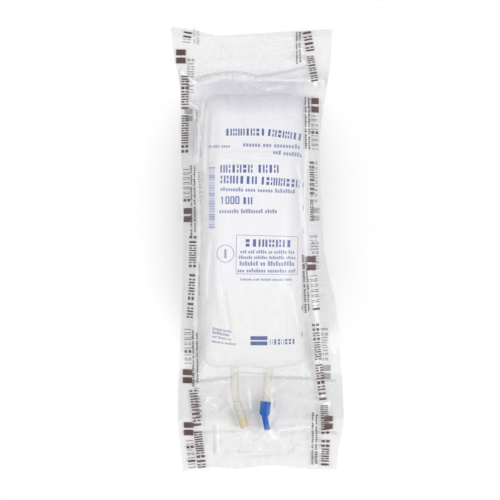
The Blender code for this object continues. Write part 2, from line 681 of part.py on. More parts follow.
def read_grid(grid, across, along):
    """Heights of a grid at shares across and along it, by straight lines between its points."""
    rows, columns = grid.shape
    row, column = along * (rows - 1), across * (columns - 1)
    low_row = np.clip(row.astype(int), 0, rows - 2)
    low_column = np.clip(column.astype(int), 0, columns - 2)
    up, right = row - low_row, column - low_column
    lower = grid[low_row, low_column] * (1 - right) + grid[low_row, low_column + 1] * right
    upper = grid[low_row + 1, low_column] * (1 - right) + grid[low_row + 1, low_column + 1] * right
    return lower * (1 - up) + upper * up


def overwrap_rows():
    """Shares along the pack for the overwrap's rows, closer together over the shoulders and the ports."""
    seal = SEAL_WIDTH / PACK_LENGTH
    breaks = (
        (0.0, seal, 2), (seal, 0.115, 6), (0.115, 0.21, 8), (0.21, 0.31, 8), (0.31, 0.74, 7),
        (0.74, 0.90, 11), (0.90, 1.0 - seal, 5), (1.0 - seal, 1.0, 2),
    )
    runs = [np.linspace(start, end, steps, endpoint=False) for start, end, steps in breaks]
    return np.concatenate([*runs, [1.0]])


def overwrap_points(across, along, inset):
    """Places on the overwrap's plan: shares across and along become x and y, with the sides moved in by inset."""
    left = between(along, LEFT_EDGE) + inset
    right = between(along, RIGHT_EDGE) - inset
    x = left + (right - left) * across
    low = -PACK_LENGTH / 2 + between(across, BOTTOM_EDGE)
    high = PACK_LENGTH / 2 - between(across, TOP_EDGE)
    return x, low + (high - low) * along


def overwrap_sheet(drape, across, along, inset):
    """Grid of the upper film's inner side: the drape with its broad folds, down at its side edges and end seals."""
    x, y = overwrap_points(across, along, inset)
    from_seal = PACK_LENGTH * np.clip(np.minimum(along, 1.0 - along), 0.0, None) - SEAL_WIDTH
    ends = 1.0 - np.exp(-((np.clip(from_seal, 0.0, None) / END_SLOPE_LENGTH) ** 2))
    sides = 1.0 - np.abs(2.0 * across - 1.0) ** 10
    folds = sum(fold_ridge(x, y, *fold) for fold in OVERWRAP_FOLDS)
    gap = np.where(from_seal > GAP, FLAP_FILM_GAP, 0.0)
    z = OVERWRAP_FILM + gap + read_grid(drape, across, along) + folds * sides * ends
    return np.stack([x, y, z], axis=2)


def film_height(points, thickness):
    """How much higher the film's outer side is than its inner one, so that its thickness across the slope is right."""
    rise_along, rise_across = np.gradient(points[:, :, 2])
    step_x = np.gradient(points[:, :, 0], axis=1)
    step_y = np.gradient(points[:, :, 1], axis=0)
    return thickness * np.sqrt(1.0 + (rise_across / step_x) ** 2 + (rise_along / step_y) ** 2)


def overwrap(material):
    """The overwrap: upper and lower film, one with the other at the side folds and the end seals, and a vent."""
    across = np.linspace(0.0, 1.0, OVERWRAP_COLUMNS + 1)
    rows = overwrap_rows()
    seal = SEAL_WIDTH / PACK_LENGTH
    open_rows = rows[(rows > seal - 1e-9) & (rows < 1.0 - seal + 1e-9)]
    drape = draped_room()

    sheet = overwrap_sheet(drape, *np.meshgrid(across, rows), 0.0)
    sheet[:, :, 2] += film_height(sheet, OVERWRAP_FILM)
    film = placed("overwrap", body_down_to("overwrap", sheet, 0.0), material)

    room = overwrap_sheet(drape, *np.meshgrid(across, open_rows), OVERWRAP_FILM)
    room[[0, -1], :, 2] += FLAP_FILM_GAP / 2
    inside = placed("room", body_down_to("room", room, OVERWRAP_FILM))
    combine(film, inside, "DIFFERENCE")

    vent_y = PACK_LENGTH / 2 - VENT_FROM_END
    vent_line = [Vector((VENT_X, vent_y, -GAP)), Vector((VENT_X, vent_y, OVERWRAP_FILM + GAP))]
    combine(film, placed("vent", rod_along("vent", vent_line, VENT_RADIUS)), "DIFFERENCE")


def main():
    clear_scene()
    clear_film = plastic("clear film", (0.86, 0.87, 0.89), 0.18, alpha=0.25)
    milky_film = plastic("milky film", (0.88, 0.88, 0.92), 0.32, alpha=0.55)
    water = plastic("water", (0.90, 0.93, 0.96), 0.05, alpha=0.30)
    clear_tube = plastic("clear tube", (0.84, 0.82, 0.76), 0.22, alpha=0.55)
    sleeve_plastic = plastic("sleeve plastic", (0.86, 0.84, 0.74), 0.25, alpha=0.70)
    rubber = plastic("cream rubber", (0.66, 0.58, 0.36), 0.55)
    cap_plastic = plastic("blue cap plastic", (0.02, 0.15, 0.46), 0.35)

    overwrap(clear_film)
    bag_film(milky_film)
    saline_fill(water)
    injection_port(clear_tube, sleeve_plastic, rubber)
    spike_port(clear_tube, sleeve_plastic, cap_plastic)
    bpy.context.view_layer.update()


if __name__ == "__main__":
    main()
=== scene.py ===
"""Looks of a filled IV fluid bag in its sealed overwrap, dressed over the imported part.

The part lies on its back: +Y is the hanging end, -Y the port end and +Z up, in metres.
"""

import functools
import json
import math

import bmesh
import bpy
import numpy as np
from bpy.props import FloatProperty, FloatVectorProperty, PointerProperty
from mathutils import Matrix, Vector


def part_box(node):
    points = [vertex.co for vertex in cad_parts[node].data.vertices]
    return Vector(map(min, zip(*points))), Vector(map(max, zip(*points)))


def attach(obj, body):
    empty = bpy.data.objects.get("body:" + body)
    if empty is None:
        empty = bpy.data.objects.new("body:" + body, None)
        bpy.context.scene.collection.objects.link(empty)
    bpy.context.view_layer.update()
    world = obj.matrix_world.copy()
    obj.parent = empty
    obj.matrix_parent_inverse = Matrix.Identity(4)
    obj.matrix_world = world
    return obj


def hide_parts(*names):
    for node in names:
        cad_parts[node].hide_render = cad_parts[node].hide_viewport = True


bl_info = {
    "name": "IV fluid bag",
    "version": (1, 0, 0),
    "blender": (4, 5, 0),
    "location": "3D View > Sidebar > Fluid bag",
    "description": "Films, liquid, ports, print and a plain studio for a sealed IV fluid bag",
    "category": "Object",
}

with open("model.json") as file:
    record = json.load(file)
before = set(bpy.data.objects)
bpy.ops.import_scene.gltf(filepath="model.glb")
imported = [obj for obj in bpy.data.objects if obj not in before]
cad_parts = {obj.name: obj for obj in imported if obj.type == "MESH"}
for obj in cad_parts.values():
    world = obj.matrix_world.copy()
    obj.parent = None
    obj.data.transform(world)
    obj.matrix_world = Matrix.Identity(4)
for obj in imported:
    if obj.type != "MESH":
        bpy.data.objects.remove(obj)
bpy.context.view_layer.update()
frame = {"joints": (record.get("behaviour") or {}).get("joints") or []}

TAU = 2.0 * math.pi
UP = np.array([0.0, 0.0, 1.0])
BAG_LOW, BAG_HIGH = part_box("bag_film")
CAP_LOW, CAP_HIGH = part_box("spike_port_cap")
PACK_LOW, PACK_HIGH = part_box("overwrap")
PACK_LENGTH = PACK_HIGH.y - PACK_LOW.y

# The photograph's camera looks straight down on 500 by 500 pixels, a millimetre to a pixel at the table
CAMERA_X = -0.00735
CAMERA_Y = -0.0010
CAMERA_HEIGHT = 2.0
PIXEL = 0.001
PHOTO_MIDDLE = 250.0

# The bag. Lengths that no box of the frame gives are the CAD's own
BAG_X = (BAG_LOW.x + BAG_HIGH.x) / 2
BAG_HALF_WIDTH = (BAG_HIGH.x - BAG_LOW.x) / 2
SIDE_WELD = 0.0040
FLAP_LENGTH = 0.0170
FLAP_CORNER_RADIUS = 0.0090
BAG_FILM = 0.0004
FILL_HALF_WIDTH = BAG_HALF_WIDTH - SIDE_WELD
FILL_TOP_Y = BAG_HIGH.y - FLAP_LENGTH + 0.0007
FILL_PORT_Y = -0.1177
FILL_Y = (FILL_TOP_Y + FILL_PORT_Y) / 2
FILL_HALF_LENGTH = (FILL_TOP_Y - FILL_PORT_Y) / 2
FILL_CORNER_RADIUS = 0.0127
SEAM_MIDDLE_Z = 0.01935
FILL_BASE_Z = BAG_LOW.z
FILL_ABOVE_SEAM = BAG_HIGH.z - SEAM_MIDDLE_Z
SIDE_FULLNESS = 2.6
HANGING_END_FULLNESS = 5.0
PORT_END_FULLNESS = 3.4
FOOT_FLATNESS = 3.0
SLOT_LENGTH = 0.0150
SLOT_WIDTH = 0.0060
SLOT_FROM_FLAP_EDGE = 0.0065
SLOT_CUTTER_HALF_HEIGHT = 0.003
PUCKER_REACH = 0.10
SIDE_PUCKER_LENGTH = 0.0085
END_PUCKER_LENGTH = 0.0150
WELD_WAVE = 0.0018
WELD_WAVE_LENGTH = 0.034
SIDE_WELD_STEPS = 5
PORT_WELD_STEPS = 9
FLAP_STEPS = 21
FLAP_RIPPLE = 0.0006
FLAP_RIPPLE_LENGTH = 0.017
# How the bag is shaded: painted shade on its flap and the shoulder below it (at the flap partly the doubled
# film's own tint) and on its right side, another tint on its half by the ports, and its sides lit like its
# top
FLAP_AND_SHOULDER_SHADE_Y = 0.1320
FLAP_AND_SHOULDER_SHADE_LENGTH = 0.0240
# Painted shade: the bag's colour grows darker towards its right side, where the main lamp is
RIGHT_SIDE_PAINTED_SHADE = 0.12
LOWER_HALF_Y = -0.070
LOWER_HALF_LENGTH = 0.060
BAG_LIFT = 5.0

# The ports, with the CAD's own sizes
PORT_AXIS_Z = (CAP_LOW.z + CAP_HIGH.z) / 2
TUBE_START_Y = -0.1070
PORT_WELD_EDGE_Y = -0.1270
INJECTION_X = -0.0226
INJECTION_RADIUS = 0.0040
INJECTION_WALL = 0.0009
INJECTION_STRAIGHT = 0.0130
INJECTION_BEND_RADIUS = 0.0380
INJECTION_BEND_ANGLE = math.radians(18.0)
INJECTION_TIP_RUN = 0.0072
SLEEVE_RADIUS = 0.0048
SLEEVE_WALL = 0.0005
SLEEVE_LENGTH = 0.0176
SLEEVE_OVER_TUBE = 0.0068
SEPTUM_HEAD_RADIUS = 0.0043
SEPTUM_HEAD_LENGTH = 0.0092
SEPTUM_PLUG_RADIUS = 0.0040
SEPTUM_PLUG_LENGTH = 0.0080
SEPTUM_ROUND_EDGE = 0.0009
SEPTUM_DIMPLE_RADIUS = 0.0022
SEPTUM_DIMPLE_DEPTH = 0.0006
GAP = 0.0003
SPIKE_X = 0.0129
SPIKE_RADIUS = 0.0042
SPIKE_WALL = 0.0010
SPIKE_LENGTH = 0.0565
MEMBRANE_START = -0.0210
MEMBRANE_END = -0.0060
MEMBRANE_WALL = 0.0005
SPIKE_OUT = np.array(Vector(frame["joints"][0]["axis"]).normalized())
CAP_TRAVEL = frame["joints"][0]["range_m"][1]
CAP_RADIUS = 0.0053
CAP_SOCKET_DEPTH = 0.0115
CAP_END = 0.0127
CAP_SHOULDER = 0.0016
CAP_TAIL_RADIUS = 0.0029
CAP_TAIL_LENGTH = 0.0143
CAP_TAIL_BEND = math.radians(17.6)
CAP_TAIL_FLATNESS = 0.82
SOFT_EDGE = 0.0006
ROUND_SIDES = 64
ROUND_SMOOTH_ANGLE = math.radians(35)

# The overwrap's side edges: share of the pack's length from the port end, and x
LEFT_EDGE = (
    (0.00, -0.0740), (0.05, -0.0765), (0.10, -0.0790), (0.14, -0.0795), (0.22, -0.0785),
    (0.33, -0.0760), (0.50, -0.0742), (0.72, -0.0762), (0.89, -0.0790), (0.94, -0.0835), (1.00, -0.0863),
)
RIGHT_EDGE = (
    (0.00, 0.0790), (0.05, 0.0812), (0.10, 0.0858), (0.17, 0.0855), (0.28, 0.0820),
    (0.38, 0.0780), (0.48, 0.0680), (0.60, 0.0645), (0.78, 0.0635), (0.86, 0.0690), (0.96, 0.0740),
    (1.00, 0.0740),
)
# How far the end edges wave in from the pack's full length: share across from the left, and depth
TOP_EDGE = ((0.0, 0.0), (0.12, 0.0028), (0.28, 0.0085), (0.45, 0.0078), (0.70, 0.0048), (1.0, 0.0028))
BOTTOM_EDGE = ((0.0, 0.0), (0.12, 0.0042), (0.35, 0.0028), (0.58, 0.0060), (0.80, 0.0030), (1.0, 0.0022))
SEAL_WIDTH = 0.010
# A rough width for distances in from the sides, and the gaps that the films keep from the table and the bag
FILM_WIDTH = 0.15
LOWER_FILM_Z = 0.00005
LOWER_FILM_LIFT_REACH = 0.007
FILM_OVER_TABLE = 0.0004
FILM_OVER_BAG = 0.0006
CREASE_OVER_BAG = 0.0003
CREASE_OVER_TABLE = 0.0002
# How far the outline lifts off the table: everywhere, in its wave, at its corners and along its ends
EDGE_LIFT = 0.0002
EDGE_WAVE = 0.0007
CORNER_LIFT = 0.0022
END_LIFT = 0.0008
# How the film hangs: its folds down off the bag, the sag past them, and the steps that solve it
FLAP_FOLD_Y = 0.1690
PORT_FOLD_Y = -0.1330
FOLD_LENGTH = 0.010
END_SAG_REACH = 0.020
PORT_END_SAG = 0.4
HANG_LEVELS = (16, 8, 4, 2, 1)
HANG_ROUNDS = 220
# How it creases: less where it lies tight, and not at its side edges and seals
LARGE_FACETS = 0.034
SMALL_FACETS = 0.0150
SLACK_GAP = 0.004
TIGHT_CREASES = 0.25
SIDE_CREASE_START = 0.006
SEAL_CREASE_START = 0.008
# Bands across the overwrap where painted shade makes it denser and darker: middle along y, half length, soft
# length, how much
PAINTED_SHADE_BANDS = (
    (0.2170, 0.0040, 0.0020, 0.05),
    (0.1700, 0.0040, 0.0100, 0.12),
    (-0.1480, 0.0200, 0.0050, 0.11),
)
# The length over which film past the bag's foot loses its edge-on haze and painted reflection, and the gap
# over the bag where film looks hazy
FOOT_CLEARING = 0.008
CLEAR_GAP = 0.0022
# Creases whose crests get a full painted white glint and whose valleys get full painted shade: how high they
# stand over the film near them and farther off
NEAR_STEPS = 6
FAR_STEPS = 40
FULL_NEAR_CREASE = 0.00038
FULL_FAR_CREASE = 0.0012
FILM_ROWS = 520
FILM_COLUMNS = 188

# Folds of the upper film, in photograph pixels: start, end, half width, height and sideways bow
FILM_FOLDS = (
    ((195, 80), (222, 73.2), 1.5, -2.6, -0.6),
    ((218, 74), (258, 77.4), 1.5, -2.6, -3.0),
    ((253, 77.6), (308, 66.5), 1.6, -2.8, 0.8),
    ((196, 86), (232, 78), 2.0, 1.6, -1.0),
    ((228, 79.5), (262, 80.5), 2.2, 1.4, 0.0),
    ((256, 80), (324, 80.5), 1.6, 2.2, 0.6),
    ((323, 80), (326, 97), 2.0, 1.5, 0.0),
    ((180, 70), (196, 84), 2.0, 1.8, 0.0),
    ((186, 62), (262, 60), 2.0, 0.9, 1.0),
    ((222, 49), (318, 54), 2.2, 0.9, -1.0),
    ((232, 43), (262, 41), 1.6, 0.7, 0.0),
    ((256, 46), (296, 43), 1.6, 0.8, 0.6),
    ((240, 66), (312, 61), 1.8, 0.8, 0.0),
    ((196, 36), (216, 37), 1.6, 1.4, 0.0),
    ((216, 34), (219, 58), 1.5, 0.9, 0.0),
    ((226, 36), (224, 66), 1.6, 0.6, 0.0),
    ((300, 34), (304, 66), 1.6, 0.8, 0.0),
    ((204, 104), (198, 165), 1.8, 2.8, 1.0),
    ((200, 106), (195, 160), 1.5, -2.0, 1.0),
    ((194, 112), (203, 150), 1.3, 1.2, -1.0),
    ((197, 170), (199, 262), 2.0, 2.0, -1.5),
    ((199, 255), (196, 352), 2.0, 1.8, 1.0),
    ((306, 96), (304, 190), 1.8, 2.0, -1.0),
    ((304, 180), (307, 280), 1.8, 2.0, 1.5),
    ((308, 262), (322, 372), 2.4, 2.6, -2.0),
    ((313, 330), (322, 398), 1.6, 1.6, 1.0),
    ((324, 150), (312, 98), 2.0, 1.4, 0.0),
    ((183, 98), (203, 112), 1.6, 1.6, 0.0),
    ((208, 108), (206, 176), 2.0, 2.0, 0.6),
    ((215, 118), (212, 164), 2.0, 1.4, 0.0),
    ((212, 236), (208, 300), 2.0, 1.7, 1.0),
    ((222, 284), (232, 342), 2.0, 1.4, 1.5),
    ((296, 158), (301, 234), 2.0, 1.7, -1.0),
    ((290, 284), (298, 332), 2.0, 1.4, 0.0),
    ((240, 150), (296, 148), 2.4, 0.9, 1.0),
    ((222, 160), (262, 164), 2.4, 0.8, 0.0),
    ((262, 92), (290, 85), 3.0, 1.9, 0.0),
    ((226, 88), (240, 110), 3.4, 0.8, 1.0),
    ((294, 94), (286, 118), 3.0, 1.1, 0.0),
    ((206, 232), (204, 300), 1.6, -0.40, 1.0),
    ((214, 238), (219, 318), 1.5, -0.35, 1.0),
    ((217, 240), (222, 316), 1.3, 0.60, 1.0),
    ((227, 288), (236, 346), 1.6, -0.35, 1.5),
    ((212, 300), (208, 346), 1.8, -0.40, -1.0),
    ((203, 176), (206, 230), 1.6, -0.45, 0.5),
    ((209, 182), (212, 232), 1.3, 0.50, 0.5),
    ((226, 206), (222, 262), 2.2, -0.25, 1.0),
    ((300, 160), (304, 236), 1.6, -0.40, -1.0),
    ((292, 288), (301, 342), 1.6, -0.40, 0.0),
    ((284, 300), (288, 345), 2.0, -0.25, 0.0),
    ((228, 153), (302, 152), 2.0, -0.30, 1.0),
    ((214, 158), (300, 160), 1.8, 0.40, -1.0),
    ((222, 98), (216, 134), 2.4, -0.35, 0.0),
    ((246, 102), (243, 126), 2.4, 0.45, 0.0),
    ((270, 98), (274, 122), 2.6, -0.25, 0.0),
    ((288, 100), (295, 132), 2.2, -0.35, 0.0),
    ((185, 382), (228, 378), 2.0, -2.2, 0.6),
    ((226, 380), (238, 371), 1.6, -1.4, 0.0),
    ((236, 371), (270, 373), 1.4, -1.2, 0.5),
    ((268, 377), (338, 381), 2.0, -2.4, -1.0),
    ((192, 392), (226, 402), 3.0, 1.2, 0.0),
    ((284, 396), (330, 404), 3.0, 1.4, 1.0),
    ((248, 384), (251, 410), 1.4, 0.8, 0.0),
    ((206, 400), (220, 408), 3.0, 1.4, 0.0),
    ((181, 431), (222, 431), 1.8, -2.0, 1.0),
    ((220, 431), (262, 431), 1.6, -1.0, 0.0),
    ((276, 430), (310, 426), 1.3, 1.8, 0.0),
    ((308, 431), (341, 434), 1.8, -2.0, -1.0),
    ((218.5, 422), (218.5, 476), 1.1, 1.3, 0.3),
    ((214.5, 424), (214.5, 474), 1.6, -1.5, 0.0),
    ((245.6, 429), (244.5, 451), 5.0, 2.4, 0.0),
    ((266, 430), (289, 451), 5.2, 2.4, 1.0),
    ((292, 438), (312, 441), 3.2, 1.4, 0.0),
    ((294, 450), (314, 448), 2.8, 1.3, 0.0),
    ((222, 440), (240, 446), 5.2, 1.8, 0.0),
    ((220, 462), (290, 462), 3.4, 2.6, -7.0),
    ((222, 461), (290, 461), 5.0, -3.0, 1.0),
    ((256, 440), (262, 456), 3.0, 1.4, 0.0),
    ((318, 446), (322, 464), 2.0, 1.4, 0.0),
    ((190, 446), (208, 462), 2.0, 1.4, 0.0),
)

# Folds of the bag's upper film, in photograph pixels, as above
BAG_FOLDS = (
    ((208, 300), (207, 326), 2.2, 0.9, 0.0),
    ((214, 268), (223, 324), 2.4, 1.1, 1.5),
    ((222, 262), (230, 318), 2.0, 0.6, -1.0),
    ((268, 280), (273, 300), 1.8, 0.6, 0.0),
    ((286, 278), (284, 300), 1.8, 0.6, 0.0),
    ((302, 176), (304, 216), 2.4, 1.0, 0.0),
    ((222, 96), (214, 128), 2.6, 1.0, 0.0),
    ((258, 94), (289, 86), 2.4, -1.4, 0.0),
    ((266, 91), (292, 84), 2.0, 1.2, 0.0),
    ((232, 92), (238, 112), 3.0, 0.8, 0.0),
    ((292, 100), (296, 124), 2.4, 0.8, 0.0),
    ((212, 350), (224, 372), 2.4, 1.0, 0.0),
    ((286, 346), (280, 372), 2.4, 0.9, 0.0),
    ((246, 352), (244, 372), 2.4, -0.9, 0.0),
    ((262, 350), (266, 372), 2.6, 0.8, 0.0),
)

# Print on the bag, in photograph pixels: ends of the foot of each line, its height and its words' lengths
BAG_BOLD_LINES = (
    ((225.3, 135.3), (266.0, 135.4), 7.2, (8,)),
    ((267.0, 135.6), (303.0, 139.8), 7.2, (7,)),
    ((220.4, 172.7), (279.6, 172.9), 8.0, (6, 4)),
    ((220.4, 183.2), (258.0, 184.4), 7.8, (6,)),
    ((260.5, 184.6), (300.9, 187.4), 7.8, (8,)),
    ((244.8, 246.6), (292.9, 247.4), 7.4, (7,)),
)
BAG_FINE_LINES = (
    ((243.0, 146.4), (301.0, 148.0), 4.4, (6, 3, 9)),
    ((208.4, 147.0), (230.4, 147.4), 3.0, (5, 4)),
    ((273.0, 154.0), (303.0, 156.6), 4.2, (3, 7)),
    ((220.4, 191.0), (295.7, 193.4), 4.0, (9, 4, 6, 8)),
    ((219.4, 213.2), (277.4, 213.4), 4.2, (8, 9, 5)),
    ((240.4, 253.4), (295.0, 253.8), 3.4, (3, 3, 5, 2, 6, 3)),
    ((238.9, 258.9), (296.0, 259.3), 3.4, (7, 7, 8, 5)),
    ((239.6, 265.6), (294.8, 266.0), 4.6, (7, 2, 10)),
    ((237.6, 272.3), (296.0, 272.7), 3.8, (3, 8, 8, 3)),
    ((240.4, 280.4), (292.5, 280.8), 2.2, (9, 5, 8, 9, 6)),
    ((212.0, 330.4), (231.5, 333.4), 2.4, (7, 6)),
    ((212.0, 334.4), (229.5, 337.2), 3.0, (8,)),
    ((211.5, 338.4), (231.0, 341.2), 2.4, (3, 5, 2)),
    ((211.0, 343.4), (236.0, 346.2), 2.2, (7, 2, 9)),
)
VOLUME_FIGURE = ((220.4, 204.2), 7.8, "1000")
VOLUME_UNIT_LINE = ((242.5, 204.3), (253.4, 204.4), 7.0, (2,))
BOX_CORNERS = ((236.6, 235.0), (298.2, 236.8), (297.6, 274.8), (236.0, 273.8))
RING_MIDDLE = (225.4, 253.6)
RING_RADIUS = 8.9
BOX_LINE_WIDTH = 0.55
RING_WIDTH = 0.7
RING_BAR_HALF_LENGTH = 4.6
RING_BAR_WIDTH = 2.2
BAG_MARK = ((259.0, 341.4), 17.0, 10.0)
BAG_MARK_LINE = ((270.3, 345.6), (296.3, 345.2), 5.6, (7,))
LADDER_TOP = (211.6, 166.6)
LADDER_BOTTOM = (211.6, 228.4)
LADDER_WIDTH = 6.4
LADDER_BARS = 38
EDGE_TICKS = ((303.6, 182.0), (303.8, 205.0), (303.6, 228.0), (302.8, 306.0), (303.0, 333.0))
TICK_LENGTH = 5.0
TICK_WIDTH = 1.2
# Sizes within a line, as shares of a letter's cell: gap between words, width of a block, bars and their cut
WORD_GAP = 0.7
BLOCK = 0.72
SIGN_WIDTH = 0.80
SIGN_CUT = 0.09
DIGIT_WIDTH = 0.82
DIGIT_WEIGHT = 0.24

# Print on the overwrap's upper film, in photograph pixels
DARK_BOLD_LINES = (
    ((188.2, 153.0), (188.4, 114.0), 7.2, (8,)),
    ((188.4, 109.5), (188.2, 74.0), 7.2, (7,)),
    ((192.8, 318.0), (195.8, 272.0), 6.2, (8,)),
    ((196.2, 268.0), (196.8, 234.5), 7.4, (7,)),
    ((205.8, 468.0), (201.6, 431.0), 8.2, (8,)),
    ((201.2, 427.0), (196.6, 389.0), 7.8, (7,)),
    ((302.6, 30.6), (306.6, 52.0), 8.4, (4,)),
    ((306.8, 56.0), (311.8, 83.0), 7.2, (7,)),
    ((309.2, 161.0), (309.6, 196.0), 4.6, (8,)),
    ((309.6, 200.0), (309.8, 222.0), 3.6, (7,)),
    ((311.6, 323.0), (315.0, 361.0), 7.0, (8,)),
    ((315.4, 365.0), (319.8, 403.0), 7.2, (7,)),
    ((320.4, 406.0), (321.8, 436.0), 8.0, (8,)),
    ((321.9, 440.0), (321.0, 468.0), 8.0, (6,)),
)
DARK_THIN_LINES = (
    ((190.2, 202.0), (189.8, 168.0), 7.0, (7,)),
    ((191.4, 364.0), (190.8, 328.0), 7.0, (7,)),
    ((195.6, 468.0), (192.6, 440.0), 7.2, (6,)),
    ((190.0, 42.0), (192.0, 30.0), 8.0, (3,)),
    ((311.0, 115.6), (311.6, 150.4), 7.2, (7,)),
    ((309.4, 275.6), (312.4, 312.0), 7.6, (7,)),
)
DARK_FINE_LINES = (
    ((192.4, 237.0), (192.0, 165.0), 2.0, (4, 3, 6, 2, 7, 5, 4)),
    ((196.0, 232.0), (195.4, 166.0), 2.0, (5, 8, 3, 6, 4, 6)),
    ((194.2, 387.0), (193.8, 330.0), 2.2, (4, 3, 6, 2, 7, 5)),
    ((198.2, 383.0), (197.8, 332.0), 2.2, (5, 8, 3, 6, 4)),
    ((304.6, 97.0), (304.8, 150.0), 2.0, (4, 3, 6, 2, 7)),
    ((307.8, 98.0), (308.2, 150.0), 2.0, (5, 8, 3, 6)),
    ((301.4, 255.0), (304.4, 313.0), 2.2, (4, 3, 6, 2, 7, 5)),
    ((304.8, 257.0), (307.6, 311.0), 2.0, (5, 8, 3, 6, 4)),
    ((312.0, 413.0), (311.6, 466.0), 2.2, (4, 3, 6, 2, 7)),
    ((315.8, 415.0), (315.4, 465.0), 2.2, (5, 8, 3, 6)),
    ((296.0, 31.0), (296.4, 64.0), 1.8, (6, 4, 8)),
    ((299.2, 31.0), (299.6, 62.0), 1.8, (5, 3, 7)),
)
DARK_MARKS = (
    ((180.6, 55.6), 9.6, 15.0), ((187.6, 215.0), 8.6, 15.0), ((187.4, 376.8), 9.6, 15.0),
    ((188.4, 429.6), 9.6, 14.0), ((315.2, 105.0), 7.6, 16.0), ((311.2, 263.2), 9.2, 15.0),
    ((328.8, 423.2), 8.6, 14.0),
)

# Print on the overwrap's lower film, seen through from its back
GREY_BOLD_LINES = (
    ((187.4, 58.0), (187.0, 94.0), 6.8, (7,)),
    ((197.6, 172.0), (197.6, 204.0), 5.6, (7,)),
    ((317.4, 203.0), (317.6, 160.0), 6.8, (8,)),
    ((317.6, 250.0), (317.4, 233.0), 7.6, (3,)),
    ((319.0, 269.0), (318.6, 240.0), 6.6, (6,)),
    ((328.2, 361.0), (327.8, 326.0), 7.0, (7,)),
    ((193.0, 388.0), (196.4, 420.0), 6.0, (6,)),
)
GREY_FINE_LINES = (
    ((196.0, 110.0), (196.2, 156.0), 1.8, (4, 3, 6, 2, 7)),
    ((199.6, 108.0), (199.8, 158.0), 1.8, (5, 8, 3, 6)),
    ((193.6, 29.0), (193.8, 44.0), 2.0, (5, 3)),
    ((197.0, 31.0), (197.2, 45.0), 2.0, (4, 6)),
    ((198.4, 264.0), (198.6, 296.0), 1.8, (5, 8, 3)),
)
GREY_MARKS = (((188.6, 115.0), 8.0, 13.0), ((315.4, 214.4), 8.0, 14.0), ((326.6, 372.0), 8.0, 15.0))

# The surfaces that are printed on lie about this high, and the print floats this far over them
BAG_PRINT_LEVEL = 0.050
FILM_PRINT_LEVEL = 0.010
PRINT_LIFT = 0.00012
FILM_PRINT_LIFT = 0.00015
PRINT_STEPS = 5

# The stage
FLOOR_HALF_SIZE = 4.0
FLOOR_DROP = 0.0003
MAIN_LAMP_PLACE = (4.0, -0.9, 3.6)
MAIN_LAMP_SIZE = 2.4
SIDE_LAMP_PLACE = (-3.3, 0.2, 3.0)
SIDE_LAMP_SIZE = 2.6
SENSOR_WIDTH = 36.0
SIGHT_LENGTH = 20.0
CLEAR_LAYERS = 32


def colour_setting(name, description, colour):
    """A colour that a user can change, in linear light."""
    return FloatVectorProperty(
        name=name, description=description, subtype="COLOR", size=3, min=0.0, max=1.0, default=colour
    )


def share_setting(name, description, share):
    """A share from 0 to 1 that a user can change."""
    return FloatProperty(name=name, description=description, default=share, min=0.0, max=1.0)


def amount_setting(name, description, amount, unit="NONE"):
    """An amount from 0 up that a user can change."""
    return FloatProperty(name=name, description=description, default=amount, min=0.0, unit=unit)


class FilmSettings(bpy.types.PropertyGroup):
    """Sizes and looks of the clear overwrap."""

    colour: colour_setting("Film colour", "What the clear film takes from the light", (0.24, 0.24, 0.26))
    # Painted highlight: the colour of the white glints on crests and of the painted reflection edge on
    white: colour_setting("Crease colour", "Colour where the film is creased white", (0.90, 0.90, 0.92))
    haze: share_setting("Haze", "How solid the film looks face on", 0.082)
    rim: share_setting("Rim", "How much more solid it looks edge on", 0.30)
    # How strong the painted highlight on crests and the painted shade in valleys are
    streaks: share_setting("Streaks", "How white its crests are", 0.36)
    valleys: share_setting("Valleys", "How dark its valleys are", 0.26)
    crinkle: amount_setting("Crinkle", "Height of the small creases", 0.00045, "LENGTH")
    sag: amount_setting("Sag", "How far the film hangs along the sides, in 1/m", 8.0)
    end_sag: amount_setting("End sag", "How far it hangs off the bag's ends, in 1/m", 55.0)
    puff: amount_setting("Puff", "Air between the films at the ends", 0.0035, "LENGTH")


class BagSettings(bpy.types.PropertyGroup):
    """Looks of the bag and its liquid."""

    colour: colour_setting("Bag colour", "Colour of the bag's film", (0.920, 0.918, 0.942))
    low: colour_setting("Lower colour", "Colour of its film in the half by the ports", (0.925, 0.925, 0.918))
    # Colour of the flap's doubled film, also used as painted shade on the shoulder below the flap and on the
    # bag's right side
    flap_tint_and_painted_shade: colour_setting("Flap colour", "Colour where film lies on film", (0.785, 0.780, 0.855))
    haze: share_setting("Haze", "How solid the bag's film looks", 0.94)
    liquid: colour_setting("Liquid colour", "Tint of the liquid", (0.88, 0.90, 0.94))
    pucker: amount_setting("Pucker", "Height of the gathers along the welds", 0.0004, "LENGTH")


class PrintSettings(bpy.types.PropertyGroup):
    """Inks of the print."""

    blue: colour_setting("Bag ink", "Ink of the bag's print", (0.070, 0.110, 0.35))
    pale: colour_setting("Pale ink", "Ink of the bag's bar ladder", (0.22, 0.26, 0.54))
    dark: colour_setting("Overwrap ink", "Ink along the overwrap's edges", (0.060, 0.022, 0.022))
    grey: colour_setting("Back ink", "The same ink seen through from its back", (0.26, 0.24, 0.25))


class PortSettings(bpy.types.PropertyGroup):
    """Colours of the port pieces."""

    tube: colour_setting("Tube", "Soft port tubes", (0.66, 0.63, 0.54))
    sleeve: colour_setting("Sleeve", "Sleeve of the injection port", (0.80, 0.79, 0.73))
    septum: colour_setting("Septum", "Rubber of the injection port", (0.60, 0.52, 0.36))
    cap: colour_setting("Cap", "Pull-off cap", (0.000, 0.103, 0.41))


